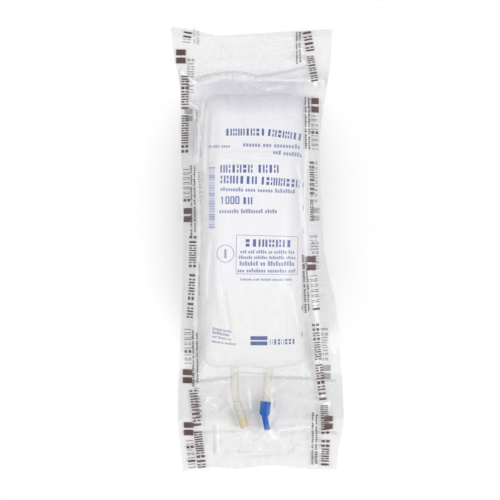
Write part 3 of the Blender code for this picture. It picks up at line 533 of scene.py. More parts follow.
class StageSettings(bpy.types.PropertyGroup):
    """Floor and lamps."""

    floor: colour_setting("Floor", "Colour of the floor", (0.93, 0.93, 0.93))
    world: share_setting("Room light", "Strength of the even light", 0.46)
    key: amount_setting("Main lamp", "Power of the soft main lamp", 150.0, "POWER")
    fill: amount_setting("Side lamp", "Power of the weaker side lamp", 82.0, "POWER")
    whiter: amount_setting("Floor lift", "Light added to the floor in view", 0.04)


def settings():
    """All the settings of this part, on the open scene."""
    return bpy.context.scene.fluid_bag


class FluidBagSettings(bpy.types.PropertyGroup):
    """Every group of settings of the part."""

    film: PointerProperty(type=FilmSettings)
    bag: PointerProperty(type=BagSettings)
    ink: PointerProperty(type=PrintSettings)
    ports: PointerProperty(type=PortSettings)
    stage: PointerProperty(type=StageSettings)


def maths_method(kind, swapped=False):
    """A method that sends a value and what it meets through one maths node, the value last where swapped."""

    def method(value, *others):
        return value.maths(kind, *others, value) if swapped else value.maths(kind, value, *others)

    return method


class Value:
    """A shader socket that can be written in sums with numbers and other sockets."""

    __add__ = __radd__ = maths_method("ADD")
    __mul__ = __rmul__ = maths_method("MULTIPLY")
    __sub__ = maths_method("SUBTRACT")
    __rsub__ = maths_method("SUBTRACT", swapped=True)
    __truediv__ = maths_method("DIVIDE")
    __pow__ = maths_method("POWER")
    size = maths_method("ABSOLUTE")
    larger = maths_method("MAXIMUM")

    def __init__(self, finish, socket):
        self.finish = finish
        self.socket = socket

    def maths(self, kind, *values, clamp=False):
        options = {"operation": kind, "use_clamp": clamp}
        return self.finish.node("ShaderNodeMath", options, dict(enumerate(values)))

    def clamped(self):
        return self.maths("ADD", self, 0.0, clamp=True)


class Finish:
    """A procedural material on one Principled shader, or a world on its Background."""

    def __init__(self, name, owner=None, shader="Principled BSDF"):
        self.owner = owner or bpy.data.materials.new(name)
        self.owner.use_nodes = True
        self.tree = self.owner.node_tree
        self.shader = self.tree.nodes[shader]

    def put(self, socket, value):
        if isinstance(value, Value):
            self.tree.links.new(value.socket, socket)
        else:
            socket.default_value = value

    def node(self, kind, options=None, inputs=None, output=0):
        made = self.tree.nodes.new(kind)
        for key, value in (options or {}).items():
            setattr(made, key, value)
        for key, value in (inputs or {}).items():
            self.put(made.inputs[key], value)
        return Value(self, made.outputs[output])

    def set(self, **values):
        for key, value in values.items():
            self.put(self.shader.inputs[key.replace("_", " ").title().replace("Ior", "IOR")], value)
        return self.owner

    def place(self):
        return self.node("ShaderNodeTexCoord", output="Object")

    def axis(self, name):
        return self.node("ShaderNodeSeparateXYZ", {}, {"Vector": self.place()}, name)

    def drawn_out(self, share):
        """Places squeezed to this share along y, which draws a pattern out along the pack."""
        return self.node("ShaderNodeMapping", {}, {"Vector": self.place(), "Scale": (1.0, share, 1.0)})

    def noise(self, scale, detail=2.0, at=None):
        sizes = {"Vector": at or self.place(), "Scale": scale, "Detail": detail}
        return self.node("ShaderNodeTexNoise", {}, sizes, "Fac")

    def attribute(self, name):
        return self.node("ShaderNodeAttribute", {"attribute_name": name}, output="Fac")

    def facing(self):
        return self.node("ShaderNodeLayerWeight", {}, {"Blend": 0.5}, "Facing")

    def mix(self, share, first, second):
        first, second = (value if isinstance(value, Value) else (*value, 1.0) for value in (first, second))
        return self.node("ShaderNodeMix", {"data_type": "RGBA"}, {"Factor": share, 6: first, 7: second}, 2)

    def bump(self, height, strength, distance):
        sizes = {"Height": height, "Strength": strength, "Distance": distance}
        return self.node("ShaderNodeBump", {}, sizes)

    def ray(self, kind):
        return self.node("ShaderNodeLightPath", output=f"Is {kind} Ray")

    def in_view(self):
        """1 for sight, gloss and light through clear stuff, and 0 for what lights the object."""
        return sum(self.ray(kind) for kind in ("Camera", "Glossy", "Transmission")).clamped()

    def shadow_share(self, share):
        """1 for sight, and this share where light is looking for a way through."""
        return 1.0 - self.ray("Shadow") * (1.0 - share)


def curve_through(value, outline):
    """Reads a smooth curve through an outline's (place, size) points: a cubic Hermite spline."""
    places, sizes = np.array(outline).T
    slopes = np.gradient(sizes, places)
    index = np.clip(np.searchsorted(places, value, side="right") - 1, 0, len(places) - 2)
    span = places[index + 1] - places[index]
    share = (value - places[index]) / span
    start = 2 * share**3 - 3 * share**2 + 1
    start_slope = share**3 - 2 * share**2 + share
    end_slope = share**3 - share**2
    tangents = span * (start_slope * slopes[index] + end_slope * slopes[index + 1])
    return start * sizes[index] + (1.0 - start) * sizes[index + 1] + tangents


def on_table(spot, height=0.0):
    """Where a photograph pixel lies on a level at this height, through the photograph's camera."""
    scale = PIXEL * (1.0 - height / CAMERA_HEIGHT)
    across, down = np.moveaxis(np.asarray(spot, float), -1, 0)
    x, y = CAMERA_X + (across - PHOTO_MIDDLE) * scale, CAMERA_Y + (PHOTO_MIDDLE - down) * scale
    return np.stack([x, y], axis=-1)


def wander(x, y, seed, size):
    """Smooth noise between -1 and 1: the mean of sine waves in seeded directions, about this size."""
    rng = np.random.default_rng(seed)
    angles, phases, stretches = rng.uniform(0, TAU, 6), rng.uniform(0, TAU, 6), rng.uniform(0.6, 1.7, 6)
    total = 0.0
    for angle, phase, stretch in zip(angles, phases, stretches):
        total = total + np.sin((x * math.cos(angle) + y * math.sin(angle)) * TAU / (size * stretch) + phase)
    return total / 6


def crumple(x, y, seed, size, waves=7):
    """Facets between sharp creases, -1 to 1: the mean of triangle waves, each bent by smooth noise."""
    rng = np.random.default_rng(seed)
    total = 0.0
    for wave, (angle, phase, stretch) in enumerate(rng.uniform((0, 0, 0.6), (TAU, 1, 1.8), (waves, 3))):
        along = (x * math.cos(angle) + y * math.sin(angle)) / (size * stretch)
        along = along + phase + 0.55 * wander(x, y, seed + 11 + wave, size * 2.4)
        total = total + np.abs(along % 1.0 - 0.5) * 4.0 - 1.0
    return total / waves


def fold(x, y, start, end, half_width, height, bow):
    """Height of one crease: a narrow crest along a bowed line, fading to nothing at both ends."""
    start, end = on_table((start, end))
    length = math.hypot(*(end - start))
    ahead = (end - start) / length
    along = ((x - start[0]) * ahead[0] + (y - start[1]) * ahead[1]) / length
    middle = np.clip(1.0 - (2.0 * along - 1.0) ** 2, 0.0, None)
    aside = (x - start[0]) * ahead[1] - (y - start[1]) * ahead[0] - bow * PIXEL * middle
    narrow = half_width * PIXEL
    soft = 0.8 * narrow
    crest = np.exp(-(np.sqrt(aside**2 + soft**2) - soft) / narrow)
    return height * PIXEL * crest * np.sqrt(middle)


def folds(x, y, every_fold):
    """The sum of a list of creases."""
    return sum(fold(x, y, *each) for each in every_fold)


def seam_height(y):
    """Height of the bag's side weld: level with the ports at both ends, lifted by the liquid between."""
    share = np.clip(np.abs((y - FILL_Y) / FILL_HALF_LENGTH), 0.0, 1.0)
    return PORT_AXIS_Z + (SEAM_MIDDLE_Z - PORT_AXIS_Z) * (1.0 - share**3) ** 2


def fullness(across, along):
    """How full the bag is, from 0 on its welds to 1 in its middle. Both places run from -1 to 1."""
    end_power = np.where(along > 0.0, HANGING_END_FULLNESS, PORT_END_FULLNESS)
    across, along = np.clip(np.abs(across), 0.0, 1.0), np.clip(np.abs(along), 0.0, 1.0)
    return np.sqrt((1.0 - across**SIDE_FULLNESS) * (1.0 - along**end_power))


def rounded_half(half, radius, past_straight):
    """Half a width that closes in round a corner, for places this far past the straight part of its side."""
    into_corner = np.clip(past_straight, 0.0, radius)
    return half - radius + np.sqrt(radius**2 - into_corner**2)


def fill_half_width(along):
    """Half the width between the side welds, which close in round the corners."""
    past_straight = np.abs(along) * FILL_HALF_LENGTH - (FILL_HALF_LENGTH - FILL_CORNER_RADIUS)
    return rounded_half(FILL_HALF_WIDTH, FILL_CORNER_RADIUS, past_straight)


def weld_stray(x, along):
    """How far an end weld strays from its straight line: a slow wave across the bag that dies out inwards."""
    end = np.sign(along)
    return WELD_WAVE * wander(x, 0.3 * end, 14, WELD_WAVE_LENGTH) * np.clip(np.abs(along), 0.0, 1.0) ** 10


def gathers(x, y, across, along, full):
    """Small wrinkles of the bag's film: short waves across each weld that die out inwards, and its folds.

    All of them die out on the weld itself, where the bag isn't full.
    """
    depth = settings().bag.pucker
    near_side, near_end = (
        np.exp(-np.clip(1.0 - np.abs(share), 0.0, None) / PUCKER_REACH) for share in (across, along)
    )
    on_side = np.sin(y * TAU / SIDE_PUCKER_LENGTH + 3.0 * wander(x, y, 5, 0.05)) * near_side
    on_end = np.sin(x * TAU / END_PUCKER_LENGTH + 3.5 * wander(x, y, 6, 0.05)) * near_end
    soft = 0.35 * wander(x, y, 8, 0.028) + 0.25 * crumple(x, y, 9, 0.045)
    at_hanging_end = between(along, -0.5, 0.5)
    waves = depth * (on_side + (1.2 + 2.0 * at_hanging_end) * on_end + soft)
    return (waves + folds(x, y, BAG_FOLDS)) * np.minimum(1.0, 3.0 * full)


def bag_top(x, y):
    """Height of the bag's upper film over any place, and of its flat welds round the liquid."""
    along = (y - FILL_Y) / FILL_HALF_LENGTH
    along = along - weld_stray(x, along) / FILL_HALF_LENGTH
    across = (x - BAG_X) / fill_half_width(along)
    full = fullness(across, along)
    bag = seam_height(y) + FILL_ABOVE_SEAM * full + gathers(x, y, across, along, full)
    on_bag = (np.abs(x - BAG_X) < BAG_HALF_WIDTH) & (y > PORT_WELD_EDGE_Y) & (y < BAG_HIGH.y)
    return np.where(on_bag, bag + BAG_FILM, 0.0)


def injection_line():
    """Middle line of the injection port's tube: straight out of the weld, then bent."""
    angle = np.linspace(0.0, INJECTION_BEND_ANGLE, 9)
    bend_x = INJECTION_X + INJECTION_BEND_RADIUS * (1 - np.cos(angle))
    bend_y = PORT_WELD_EDGE_Y - INJECTION_STRAIGHT - INJECTION_BEND_RADIUS * np.sin(angle)
    bend = np.stack([bend_x, bend_y], axis=1)
    tip = bend[-1] + INJECTION_TIP_RUN * injection_out()[:2]
    flat = np.vstack([[INJECTION_X, TUBE_START_Y], bend, tip])
    return np.column_stack([flat, np.full(len(flat), PORT_AXIS_Z)])


def injection_out():
    """Direction in which the injection port points."""
    return np.array([math.sin(INJECTION_BEND_ANGLE), -math.cos(INJECTION_BEND_ANGLE), 0.0])


def spike_line():
    """Middle line of the spike port's tube."""
    start = np.array([SPIKE_X, TUBE_START_Y, PORT_AXIS_Z])
    return np.stack([start, start + SPIKE_OUT * SPIKE_LENGTH])


def cap_line():
    """Middle line of the cap's tail: on from the socket, then bent to the right."""
    mouth = spike_line()[-1] + SPIKE_OUT * (GAP - CAP_SOCKET_DEPTH)
    knee = mouth + SPIKE_OUT * (CAP_END + CAP_SHOULDER)
    turn = math.atan2(SPIKE_OUT[1], SPIKE_OUT[0]) + CAP_TAIL_BEND
    tip = knee + CAP_TAIL_LENGTH * np.array([math.cos(turn), math.sin(turn), 0.0])
    return mouth, knee, tip


def rod_top(x, y, start, end, radius):
    """Height of the top of a round rod lying between two points, and 0 beside it."""
    ahead = end[:2] - start[:2]
    along = np.clip(((x - start[0]) * ahead[0] + (y - start[1]) * ahead[1]) / (ahead @ ahead), 0.0, 1.0)
    aside = (x - start[0] - along * ahead[0]) ** 2 + (y - start[1] - along * ahead[1]) ** 2
    return np.where(aside < radius**2, PORT_AXIS_Z + np.sqrt(np.clip(radius**2 - aside, 0.0, None)), 0.0)


def ports_top(x, y):
    """Height of the top of both ports over any place, with the room that the cap needs to come off."""
    line, out = injection_line(), injection_out()
    bend_middle = line[len(line) // 2]
    sleeve_start = line[-1] - out * SLEEVE_OVER_TUBE
    septum_end = line[-1] + out * (SLEEVE_LENGTH - SLEEVE_OVER_TUBE + SEPTUM_HEAD_LENGTH)
    mouth, knee, tip = cap_line()
    travel = SPIKE_OUT * CAP_TRAVEL
    rods = (
        (line[0], line[1], INJECTION_RADIUS),
        (line[1], bend_middle, INJECTION_RADIUS),
        (bend_middle, sleeve_start, INJECTION_RADIUS),
        (sleeve_start, septum_end, SLEEVE_RADIUS),
        (*spike_line(), SPIKE_RADIUS),
        (mouth, knee + travel, CAP_RADIUS),
        (knee, tip, CAP_TAIL_RADIUS),
        (knee + travel, tip + travel, CAP_TAIL_RADIUS),
    )
    return np.max([rod_top(x, y, *rod) for rod in rods], axis=0)


def contents_top(x, y):
    """Height of the top of the bag and its ports, and 0 beside them."""
    return np.maximum(bag_top(x, y), ports_top(x, y))


def side_edges(along):
    """x of the overwrap's left and right edges."""
    return curve_through(along, LEFT_EDGE), curve_through(along, RIGHT_EDGE)


def end_edges(across):
    """y of its edges past the ports and past the flap."""
    return PACK_LOW.y + curve_through(across, BOTTOM_EDGE), PACK_HIGH.y - curve_through(across, TOP_EDGE)


def film_plan(across, along):
    """Plan of the overwrap: shares across and along its outline become x and y."""
    (left, right), (low, high) = side_edges(along), end_edges(across)
    return left + (right - left) * across, low + (high - low) * along


def film_shares(x, y):
    """The shares across and along for places on the plan: film_plan undone, by repeated guesses."""
    across, along = np.full_like(x, 0.5), np.full_like(x, 0.5)
    for _ in range(6):
        left, right = side_edges(along)
        across = np.clip((x - left) / (right - left), 0.0, 1.0)
        low, high = end_edges(across)
        along = np.clip((y - low) / (high - low), 0.0, 1.0)
    return across, along


def from_edges(across, along):
    """Rough distances in from the nearer side edge of the overwrap and from its nearer end."""
    return np.minimum(across, 1.0 - across) * FILM_WIDTH, np.minimum(along, 1.0 - along) * PACK_LENGTH


def edge_lift(across, along):
    """How far the overwrap's outline lifts off the table: a slow wave, and more at the four corners."""
    wave = EDGE_WAVE * (1.0 + np.sin(along * 31.0 + 2.0 * across) * np.sin(along * 13.0 + 1.0))
    corner = (2.0 * across - 1.0) ** 6 * (2.0 * along - 1.0) ** 40
    end = (2.0 * along - 1.0) ** 80 * (1.0 + np.sin(across * 9.0 + 4.0 * along))
    return EDGE_LIFT + wave + CORNER_LIFT * corner + END_LIFT * end


def read_grid(grid, across, along):
    """Heights of a grid at shares across and along it, by straight lines between its points."""
    rows, columns = grid.shape
    row, column = along * (rows - 1), across * (columns - 1)
    low_row = np.clip(row.astype(int), 0, rows - 2)
    low_column = np.clip(column.astype(int), 0, columns - 2)
    up, right = row - low_row, column - low_column
    lower = grid[low_row, low_column] * (1 - right) + grid[low_row, low_column + 1] * right
    upper = grid[low_row + 1, low_column] * (1 - right) + grid[low_row + 1, low_column + 1] * right
    return lower * (1 - up) + upper * up


def between(value, low, high):
    """0 below low, 1 above high and a smooth step from one to the other."""
    share = np.clip((value - low) / (high - low), 0.0, 1.0)
    return share * share * (3.0 - 2.0 * share)


def air_under(across, along, y):
    """Height at which trapped air holds the film off the table: a flat cushion at each end of the pack."""
    side = between(np.minimum(across, 1.0 - across), 0.0, 0.22)
    end = between(np.minimum(along, 1.0 - along), 0.02, 0.075)
    head = between(y, FLAP_FOLD_Y, FLAP_FOLD_Y + FOLD_LENGTH)
    foot = 1.0 - between(y, PORT_FOLD_Y - FOLD_LENGTH, PORT_FOLD_Y)
    return settings().film.puff * side * end * (head + 1.5 * foot)


def four_neighbours(height):
    """The sum of the four neighbours of each point inside a grid's border."""
    return height[1:-1, :-2] + height[1:-1, 2:] + height[:-2, 1:-1] + height[2:, 1:-1]


def hung_film(rows, columns):
    """Shares and height of the upper film, stretched over what it holds, on coarse grids first.

    Each point is the mean of its neighbours less a little sag, and never lower than what lies under it.
    """
    look = settings().film
    height = None
    for level in HANG_LEVELS:
        some_rows, some_columns = rows // level + 1, columns // level + 1
        across, along = np.meshgrid(np.linspace(0, 1, some_columns), np.linspace(0, 1, some_rows))
        x, y = film_plan(across, along)
        top = contents_top(x, y)
        under = np.where(top > 0.0, top + FILM_OVER_BAG, FILM_OVER_TABLE)
        under = np.maximum(under, air_under(across, along, y))
        lift = edge_lift(across, along)
        sealed = from_edges(across, along)[1] < SEAL_WIDTH
        height = under if height is None else read_grid(height, across, along)
        off_flap = between(y, FILL_TOP_Y - END_SAG_REACH, FILL_TOP_Y)
        off_ports = 1.0 - between(y, PORT_WELD_EDGE_Y, FILL_PORT_Y + END_SAG_REACH)
        curve = look.sag + (look.end_sag - look.sag) * (off_flap + PORT_END_SAG * off_ports)
        sag = curve * (PACK_LENGTH / some_rows) ** 2 / 4
        for _ in range(HANG_ROUNDS):
            mean = four_neighbours(height) / 4
            height[1:-1, 1:-1] = np.maximum(mean - sag[1:-1, 1:-1], under[1:-1, 1:-1])
            height = np.where(sealed, lift, height)
            height[:, 0], height[:, -1] = lift[:, 0], lift[:, -1]
    return across, along, height


def crease_depth(height):
    """How far each point stands over the mean round it, near and far: crests over 0, valleys under."""
    mean, depth = height, 0.0
    for step in range(1, FAR_STEPS + 1):
        mean = np.pad(mean, 1, mode="edge")
        mean = (four_neighbours(mean) + mean[1:-1, 1:-1]) / 5
        if step == NEAR_STEPS:
            depth = (height - mean) / FULL_NEAR_CREASE
    return np.clip(depth + (height - mean) / FULL_FAR_CREASE, -1.0, 1.0)


@functools.cache
def upper_film():
    """Grid of the overwrap's upper film, how deep each point is creased, and how free of the bag it lies."""
    across, along, height = hung_film(FILM_ROWS, FILM_COLUMNS)
    x, y = film_plan(across, along)
    under = contents_top(x, y)
    slack = TIGHT_CREASES + (1.0 - TIGHT_CREASES) * np.clip((height - under) / SLACK_GAP, 0.0, 1.0)
    from_side, from_end = from_edges(across, along)
    loose = np.clip(from_side / SIDE_CREASE_START, 0.0, 1.0)
    loose = loose * np.clip((from_end - SEAL_WIDTH) / SEAL_CREASE_START, 0.0, 1.0)
    small = crumple(x, y, 21, LARGE_FACETS) * 1.9 + crumple(x, y, 22, SMALL_FACETS) * 0.7 + 0.5
    creased = loose * (slack * settings().film.crinkle * small + folds(x, y, FILM_FOLDS))
    over_table = edge_lift(across, along) * loose + CREASE_OVER_TABLE
    floor = np.where(under > 0.0, under + CREASE_OVER_BAG, over_table)
    made = np.where(loose <= 0.0, height, np.maximum(height + creased, floor))
    free = np.where(under > 0.0, np.clip((made - under - FILM_OVER_BAG) / CLEAR_GAP, 0.0, 1.0), 1.0)
    return np.stack([x, y, made], axis=2), crease_depth(creased), free


def upper_film_height(x, y):
    """Height of the overwrap's upper film over any place."""
    return read_grid(upper_film()[0][:, :, 2], *film_shares(x, y))


def lower_film_height(x, y):
    """Height of the overwrap's lower film: flat on the table, and up to the upper film at its outline."""
    across, along = film_shares(x, y)
    from_side, from_end = from_edges(across, along)
    from_seal = np.clip(from_end - SEAL_WIDTH, 0, None)
    near = np.exp(-((np.minimum(from_side, from_seal) / LOWER_FILM_LIFT_REACH) ** 2))
    return LOWER_FILM_Z + (edge_lift(across, along) - LOWER_FILM_Z) * near


def grid_faces(rows, columns, around=False, ring=False):
    """Corner indices of a grid's faces, four to a face. around closes its columns and ring its rows."""
    row = np.arange(rows if ring else rows - 1)[:, None]
    column = np.arange(columns if around else columns - 1)[None, :]
    next_row, next_column = (row + 1) % rows, (column + 1) % columns
    corners = (row * columns + column, row * columns + next_column,
               next_row * columns + next_column, next_row * columns + column)
    return np.stack(np.broadcast_arrays(*corners), axis=-1).reshape(-1, 4)


def put_in_scene(name, data, place=(0.0, 0.0, 0.0)):
    """An object with this data, in the open scene."""
    thing = bpy.data.objects.new(name, data)
    thing.location = place
    bpy.context.scene.collection.objects.link(thing)
    return thing


def made_piece(name, points, faces, material, smooth_angle=math.radians(60), merged=True):
    """A piece of these points and four-cornered faces, shaded smooth, with its doubles merged."""
    mesh = bpy.data.meshes.new(name)
    mesh.from_pydata(points.reshape(-1, 3).tolist(), [], faces.tolist())
    mesh.validate()
    if merged:
        bm = bmesh.new()
        bm.from_mesh(mesh)
        bmesh.ops.remove_doubles(bm, verts=bm.verts, dist=1e-7)
        bm.to_mesh(mesh)
        bm.free()
    mesh.shade_smooth()
    mesh.set_sharp_from_angle(angle=smooth_angle)
    mesh.materials.append(material)
    return put_in_scene(name, mesh)


def sheet_piece(name, points, material, flip=False, **attributes):
    """An open sheet through a grid of points, facing up, or down with flip, with numbers for its finish."""
    faces = grid_faces(*points.shape[:2])
    piece = made_piece(name, points, faces[:, ::-1] if flip else faces, material, merged=False)
    for key, values in attributes.items():
        piece.data.attributes.new(key, "FLOAT", "POINT").data.foreach_set("value", values.ravel())
    return piece


def shell_piece(name, front, back, material):
    """A closed shell between two grids with the same rows and columns, joined round their border."""
    rows, columns = front.shape[:2]
    faces = grid_faces(rows, columns)
    index = np.arange(rows * columns).reshape(rows, columns)
    border = np.concatenate([index[0, :-1], index[:-1, -1], index[-1, :0:-1], index[:0:-1, 0]])
    after = np.roll(border, -1)
    size = rows * columns
    wall = np.stack([border, border + size, after + size, after], axis=1)
    every = np.concatenate([faces, faces[:, ::-1] + size, wall])
    return made_piece(name, np.concatenate([front.reshape(-1, 3), back.reshape(-1, 3)]), every, material)


def rings(side, flat=1.0):
    """Unit rings, each in the plane of a sideways direction and straight up."""
    angle = np.linspace(0.0, TAU, ROUND_SIDES, endpoint=False)[:, None]
    return np.cos(angle) * side[..., None, :] + flat * np.sin(angle) * UP


def round_piece(name, points, material, ring):
    """A piece of rings of points, each joined to the next, and the last to the first where ring is set."""
    faces = grid_faces(*points.shape[:2], around=True, ring=ring)
    return made_piece(name, points, faces[:, ::-1], material, ROUND_SMOOTH_ANGLE)


def turned_piece(name, profile, start, out, material, flat=1.0):
    """A turned piece: a profile of (distance along, radius) carried round an axis from a start point."""
    out = out / np.linalg.norm(out)
    along, radius = np.array(profile).T[..., None, None]
    points = start + along * out + radius * rings(np.cross(UP, out), flat)
    return round_piece(name, points, material, ring=profile[0][1] > 0.0)


def tube_piece(name, line, radius, wall, material, steps=60):
    """An open-ended tube along a line: its wall's section, two circles, carried along the smoothed line."""
    reach = np.concatenate([[0.0], np.cumsum(np.linalg.norm(np.diff(line, axis=0), axis=1))])
    place = np.linspace(0.0, reach[-1], steps)
    middle = np.stack([np.interp(place, reach, line[:, axis]) for axis in range(3)], axis=1)
    ahead = np.gradient(middle, axis=0)
    ahead /= np.linalg.norm(ahead, axis=1)[:, None]
    ring = rings(np.cross(UP, ahead))
    outer, inner = middle[:, None] + radius * ring, middle[:, None] + (radius - wall) * ring
    return round_piece(name, np.concatenate([outer, inner[::-1]]), material, ring=True)


def closer_at_welds(before, steps, after):
    """Shares from -1 to 1 that lie closer together near both, and on in even steps to -2 and to 2."""
    swell = np.sin(np.linspace(-math.pi / 2, math.pi / 2, steps + 1))
    return np.concatenate([np.linspace(-2, -1, before + 1)[:-1], swell, np.linspace(1, 2, after + 1)[1:]])


def bag_grid(columns=150, rows=230):
    """Plan of the bag: shares from -1 to 1 over the liquid, and on over the welds and the flap."""
    across = closer_at_welds(SIDE_WELD_STEPS, columns, SIDE_WELD_STEPS)
    across, along = np.meshgrid(across, closer_at_welds(PORT_WELD_STEPS, rows, FLAP_STEPS))
    in_across, in_along = np.clip(across, -1.0, 1.0), np.clip(along, -1.0, 1.0)
    beyond = along - in_along
    margin = np.where(beyond > 0, BAG_HIGH.y - FILL_TOP_Y, FILL_PORT_Y - PORT_WELD_EDGE_Y)
    y = FILL_Y + in_along * FILL_HALF_LENGTH + beyond * margin
    half = fill_half_width(in_along)
    outer = rounded_half(BAG_HALF_WIDTH, FLAP_CORNER_RADIUS, y - (BAG_HIGH.y - FLAP_CORNER_RADIUS))
    x = BAG_X + in_across * half + (across - in_across) * (outer - half)
    y = y + weld_stray(x, in_along) * (1.0 - np.abs(beyond))
    full = fullness(in_across, in_along) * (np.abs(across) <= 1.0) * (np.abs(along) <= 1.0)
    return x, y, full, in_across, in_along


def underside(weld, base, full):
    """Height of a pillow's flattened underside: up at its weld, and down at its base where it is full."""
    return weld - (weld - base) * (1.0 - (1.0 - full) ** FOOT_FLATNESS)


def bag_shell():
    """The bag's two films as one closed shell: the filled pillow, its welded margins and the hanging flap."""
    x, y, full, across, along = bag_grid()
    seam = seam_height(y)
    top = seam + BAG_FILM + FILL_ABOVE_SEAM * full + gathers(x, y, across, along, full)
    bottom = underside(seam - BAG_FILM, FILL_BASE_Z, full)
    on_flap = np.clip((y - FILL_TOP_Y) / 0.006, 0.0, 1.0)
    ripple = FLAP_RIPPLE * np.sin(x * TAU / FLAP_RIPPLE_LENGTH + 1.0) * on_flap
    return np.stack([x, y, top + ripple], axis=2), np.stack([x, y, bottom + ripple], axis=2)


def liquid_shell():
    """The liquid's surface, just inside the bag's films."""
    over_liquid = slice(PORT_WELD_STEPS, -FLAP_STEPS), slice(SIDE_WELD_STEPS, -SIDE_WELD_STEPS)
    x, y, full = (each[over_liquid] for each in bag_grid()[:3])
    seam, inset = seam_height(y), BAG_FILM + GAP
    top = seam + (FILL_ABOVE_SEAM - inset) * full
    bottom = underside(seam, FILL_BASE_Z + inset, full)
    x = BAG_X + (x - BAG_X) * (1.0 - 2 * BAG_FILM / FILL_HALF_WIDTH)
    y = FILL_Y + (y - FILL_Y) * (1.0 - 2 * BAG_FILM / FILL_HALF_LENGTH)
    return np.stack([x, y, top], axis=2), np.stack([x, y, bottom], axis=2)


def slot_cutter():
    """A prism with round ends that cuts the hanging slot."""
    middle = np.array([BAG_X, BAG_HIGH.y - SLOT_FROM_FLAP_EDGE])
    angle = np.linspace(-math.pi / 2, math.pi / 2, 12)
    right = SLOT_WIDTH / 2 * np.stack([np.cos(angle), np.sin(angle)], axis=1)
    right = right + ((SLOT_LENGTH - SLOT_WIDTH) / 2, 0.0)
    bm = bmesh.new()
    floor = PORT_AXIS_Z - SLOT_CUTTER_HALF_HEIGHT
    outline = np.concatenate([middle + right, middle - right])
    face = bm.faces.new([bm.verts.new((x, y, floor)) for x, y in outline])
    lifted = bmesh.ops.extrude_face_region(bm, geom=[face])["geom"]
    lifted = [part for part in lifted if isinstance(part, bmesh.types.BMVert)]
    bmesh.ops.translate(bm, verts=lifted, vec=(0.0, 0.0, 2 * SLOT_CUTTER_HALF_HEIGHT))
    bmesh.ops.recalc_face_normals(bm, faces=bm.faces)
    mesh = bpy.data.meshes.new("slot_cutter")
    bm.to_mesh(mesh)
    bm.free()
    return put_in_scene("slot_cutter", mesh)


def cut_away(piece, cutter):
    """Cuts the cutter out of a piece for good and deletes it."""
    cut = piece.modifiers.new("cut", "BOOLEAN")
    cut.operation = "DIFFERENCE"
    cut.object = cutter
    mesh = bpy.data.meshes.new_from_object(piece.evaluated_get(bpy.context.evaluated_depsgraph_get()))
    piece.modifiers.clear()
    piece.data = mesh
    bpy.data.objects.remove(cutter)


def level_normals(piece, lift):
    """Turns a piece's shading normals towards straight up or down: z is multiplied, then the length made 1.

    Light spreads in the filled bag, so its sides look nearly as bright as its top.
    """
    mesh = piece.data
    normals = np.empty(3 * len(mesh.vertices))
    mesh.vertices.foreach_get("normal", normals)
    normals = normals.reshape(-1, 3) * (1.0, 1.0, lift)
    normals /= np.linalg.norm(normals, axis=1)[:, None]
    mesh.normals_split_custom_set_from_vertices(normals.tolist())


def sign_strokes(weight, rng):
    """One plain sign in a unit cell, as (left, foot, right, head) boxes: bars, whole or cut, or blocks."""
    low, high = 0.5 - SIGN_CUT, 0.5 + SIGN_CUT
    left = 0, weight
    right = SIGN_WIDTH - weight, SIGN_WIDTH
    middle, narrow = (0.12, SIGN_WIDTH - 0.12), (0.18, SIGN_WIDTH - 0.18)

    def whole(sides):
        return ((sides[0], 0, sides[1], 1),)

    def cut(sides):
        return (sides[0], 0, sides[1], low), (sides[0], high, sides[1], 1)

    shapes = (
        whole(left) + whole(right), cut(left) + whole(right), whole(left) + cut(right),
        cut(middle), whole(narrow),
    )
    return shapes[rng.integers(len(shapes))]


def moved(strokes, place):
    """Boxes moved along their line."""
    return [(place + left, foot, place + right, head) for left, foot, right, head in strokes]


def corners_of(boxes):
    """The four corners of each (left, foot, right, head) box, in order round it."""
    return np.array(boxes)[:, [0, 1, 2, 1, 2, 3, 0, 3]].reshape(-1, 4, 2)


def run_of(start, end):
    """Start of a straight run, the way along it, and the direction square to it, of length 1."""
    start = np.array(start, float)
    run = end - start
    return start, run, np.array([run[1], -run[0]]) / np.linalg.norm(run)


def line_strokes(start, end, height, words, weight, seed, plain=False):
    """Boxes of a printed line, by their corners in photograph pixels: words of made-up glyphs."""
    rng = np.random.default_rng(seed)
    start, run, up = run_of(start, end)
    pitch = run / (sum(words) + WORD_GAP * (len(words) - 1))
    boxes, place = [], 0.0
    for word in words:
        for letter in range(word):
            head = rng.choice([BLOCK, BLOCK, 1.0])
            strokes = ((0, 0, BLOCK, head),) if plain else sign_strokes(weight, rng)
            boxes += moved(strokes, place + letter)
        place += word + WORD_GAP
    corners = corners_of(boxes)
    return start + corners[..., :1] * pitch + corners[..., 1:] * height * up


def every_line(lines, weight, seed, plain=False):
    """Boxes of a list of printed lines."""
    return np.concatenate([line_strokes(*line, weight, seed + n, plain) for n, line in enumerate(lines)])


def ring_strokes(middle, radius, width, pieces=40):
    """Boxes round a ring."""
    angle = np.linspace(0.0, TAU, pieces + 1)
    spoke = np.stack([np.cos(angle), np.sin(angle)], axis=1)
    inner, outer = middle + spoke * (radius - width), middle + spoke * radius
    return np.stack([inner[:-1], outer[:-1], outer[1:], inner[1:]], axis=1)


def mark_strokes(marks):
    """Two solid bars for each mark, which run across the photograph, one below the other."""
    bars = [
        bar_strokes((x - width / 2, level), (x + width / 2, level), height * 0.40, 4)
        for (x, y), width, height in marks
        for level in (y - height * 0.27, y + height * 0.27)
    ]
    return np.concatenate(bars)


def bar_strokes(start, end, width, pieces):
    """Boxes along a straight bar, cut into pieces so that it can bend."""
    start, run, square = run_of(start, end)
    place = start + np.linspace(0.0, 1.0, pieces + 1)[:, None] * run
    left, right = place - square * width / 2, place + square * width / 2
    return np.stack([left[:-1], left[1:], right[1:], right[:-1]], axis=1)


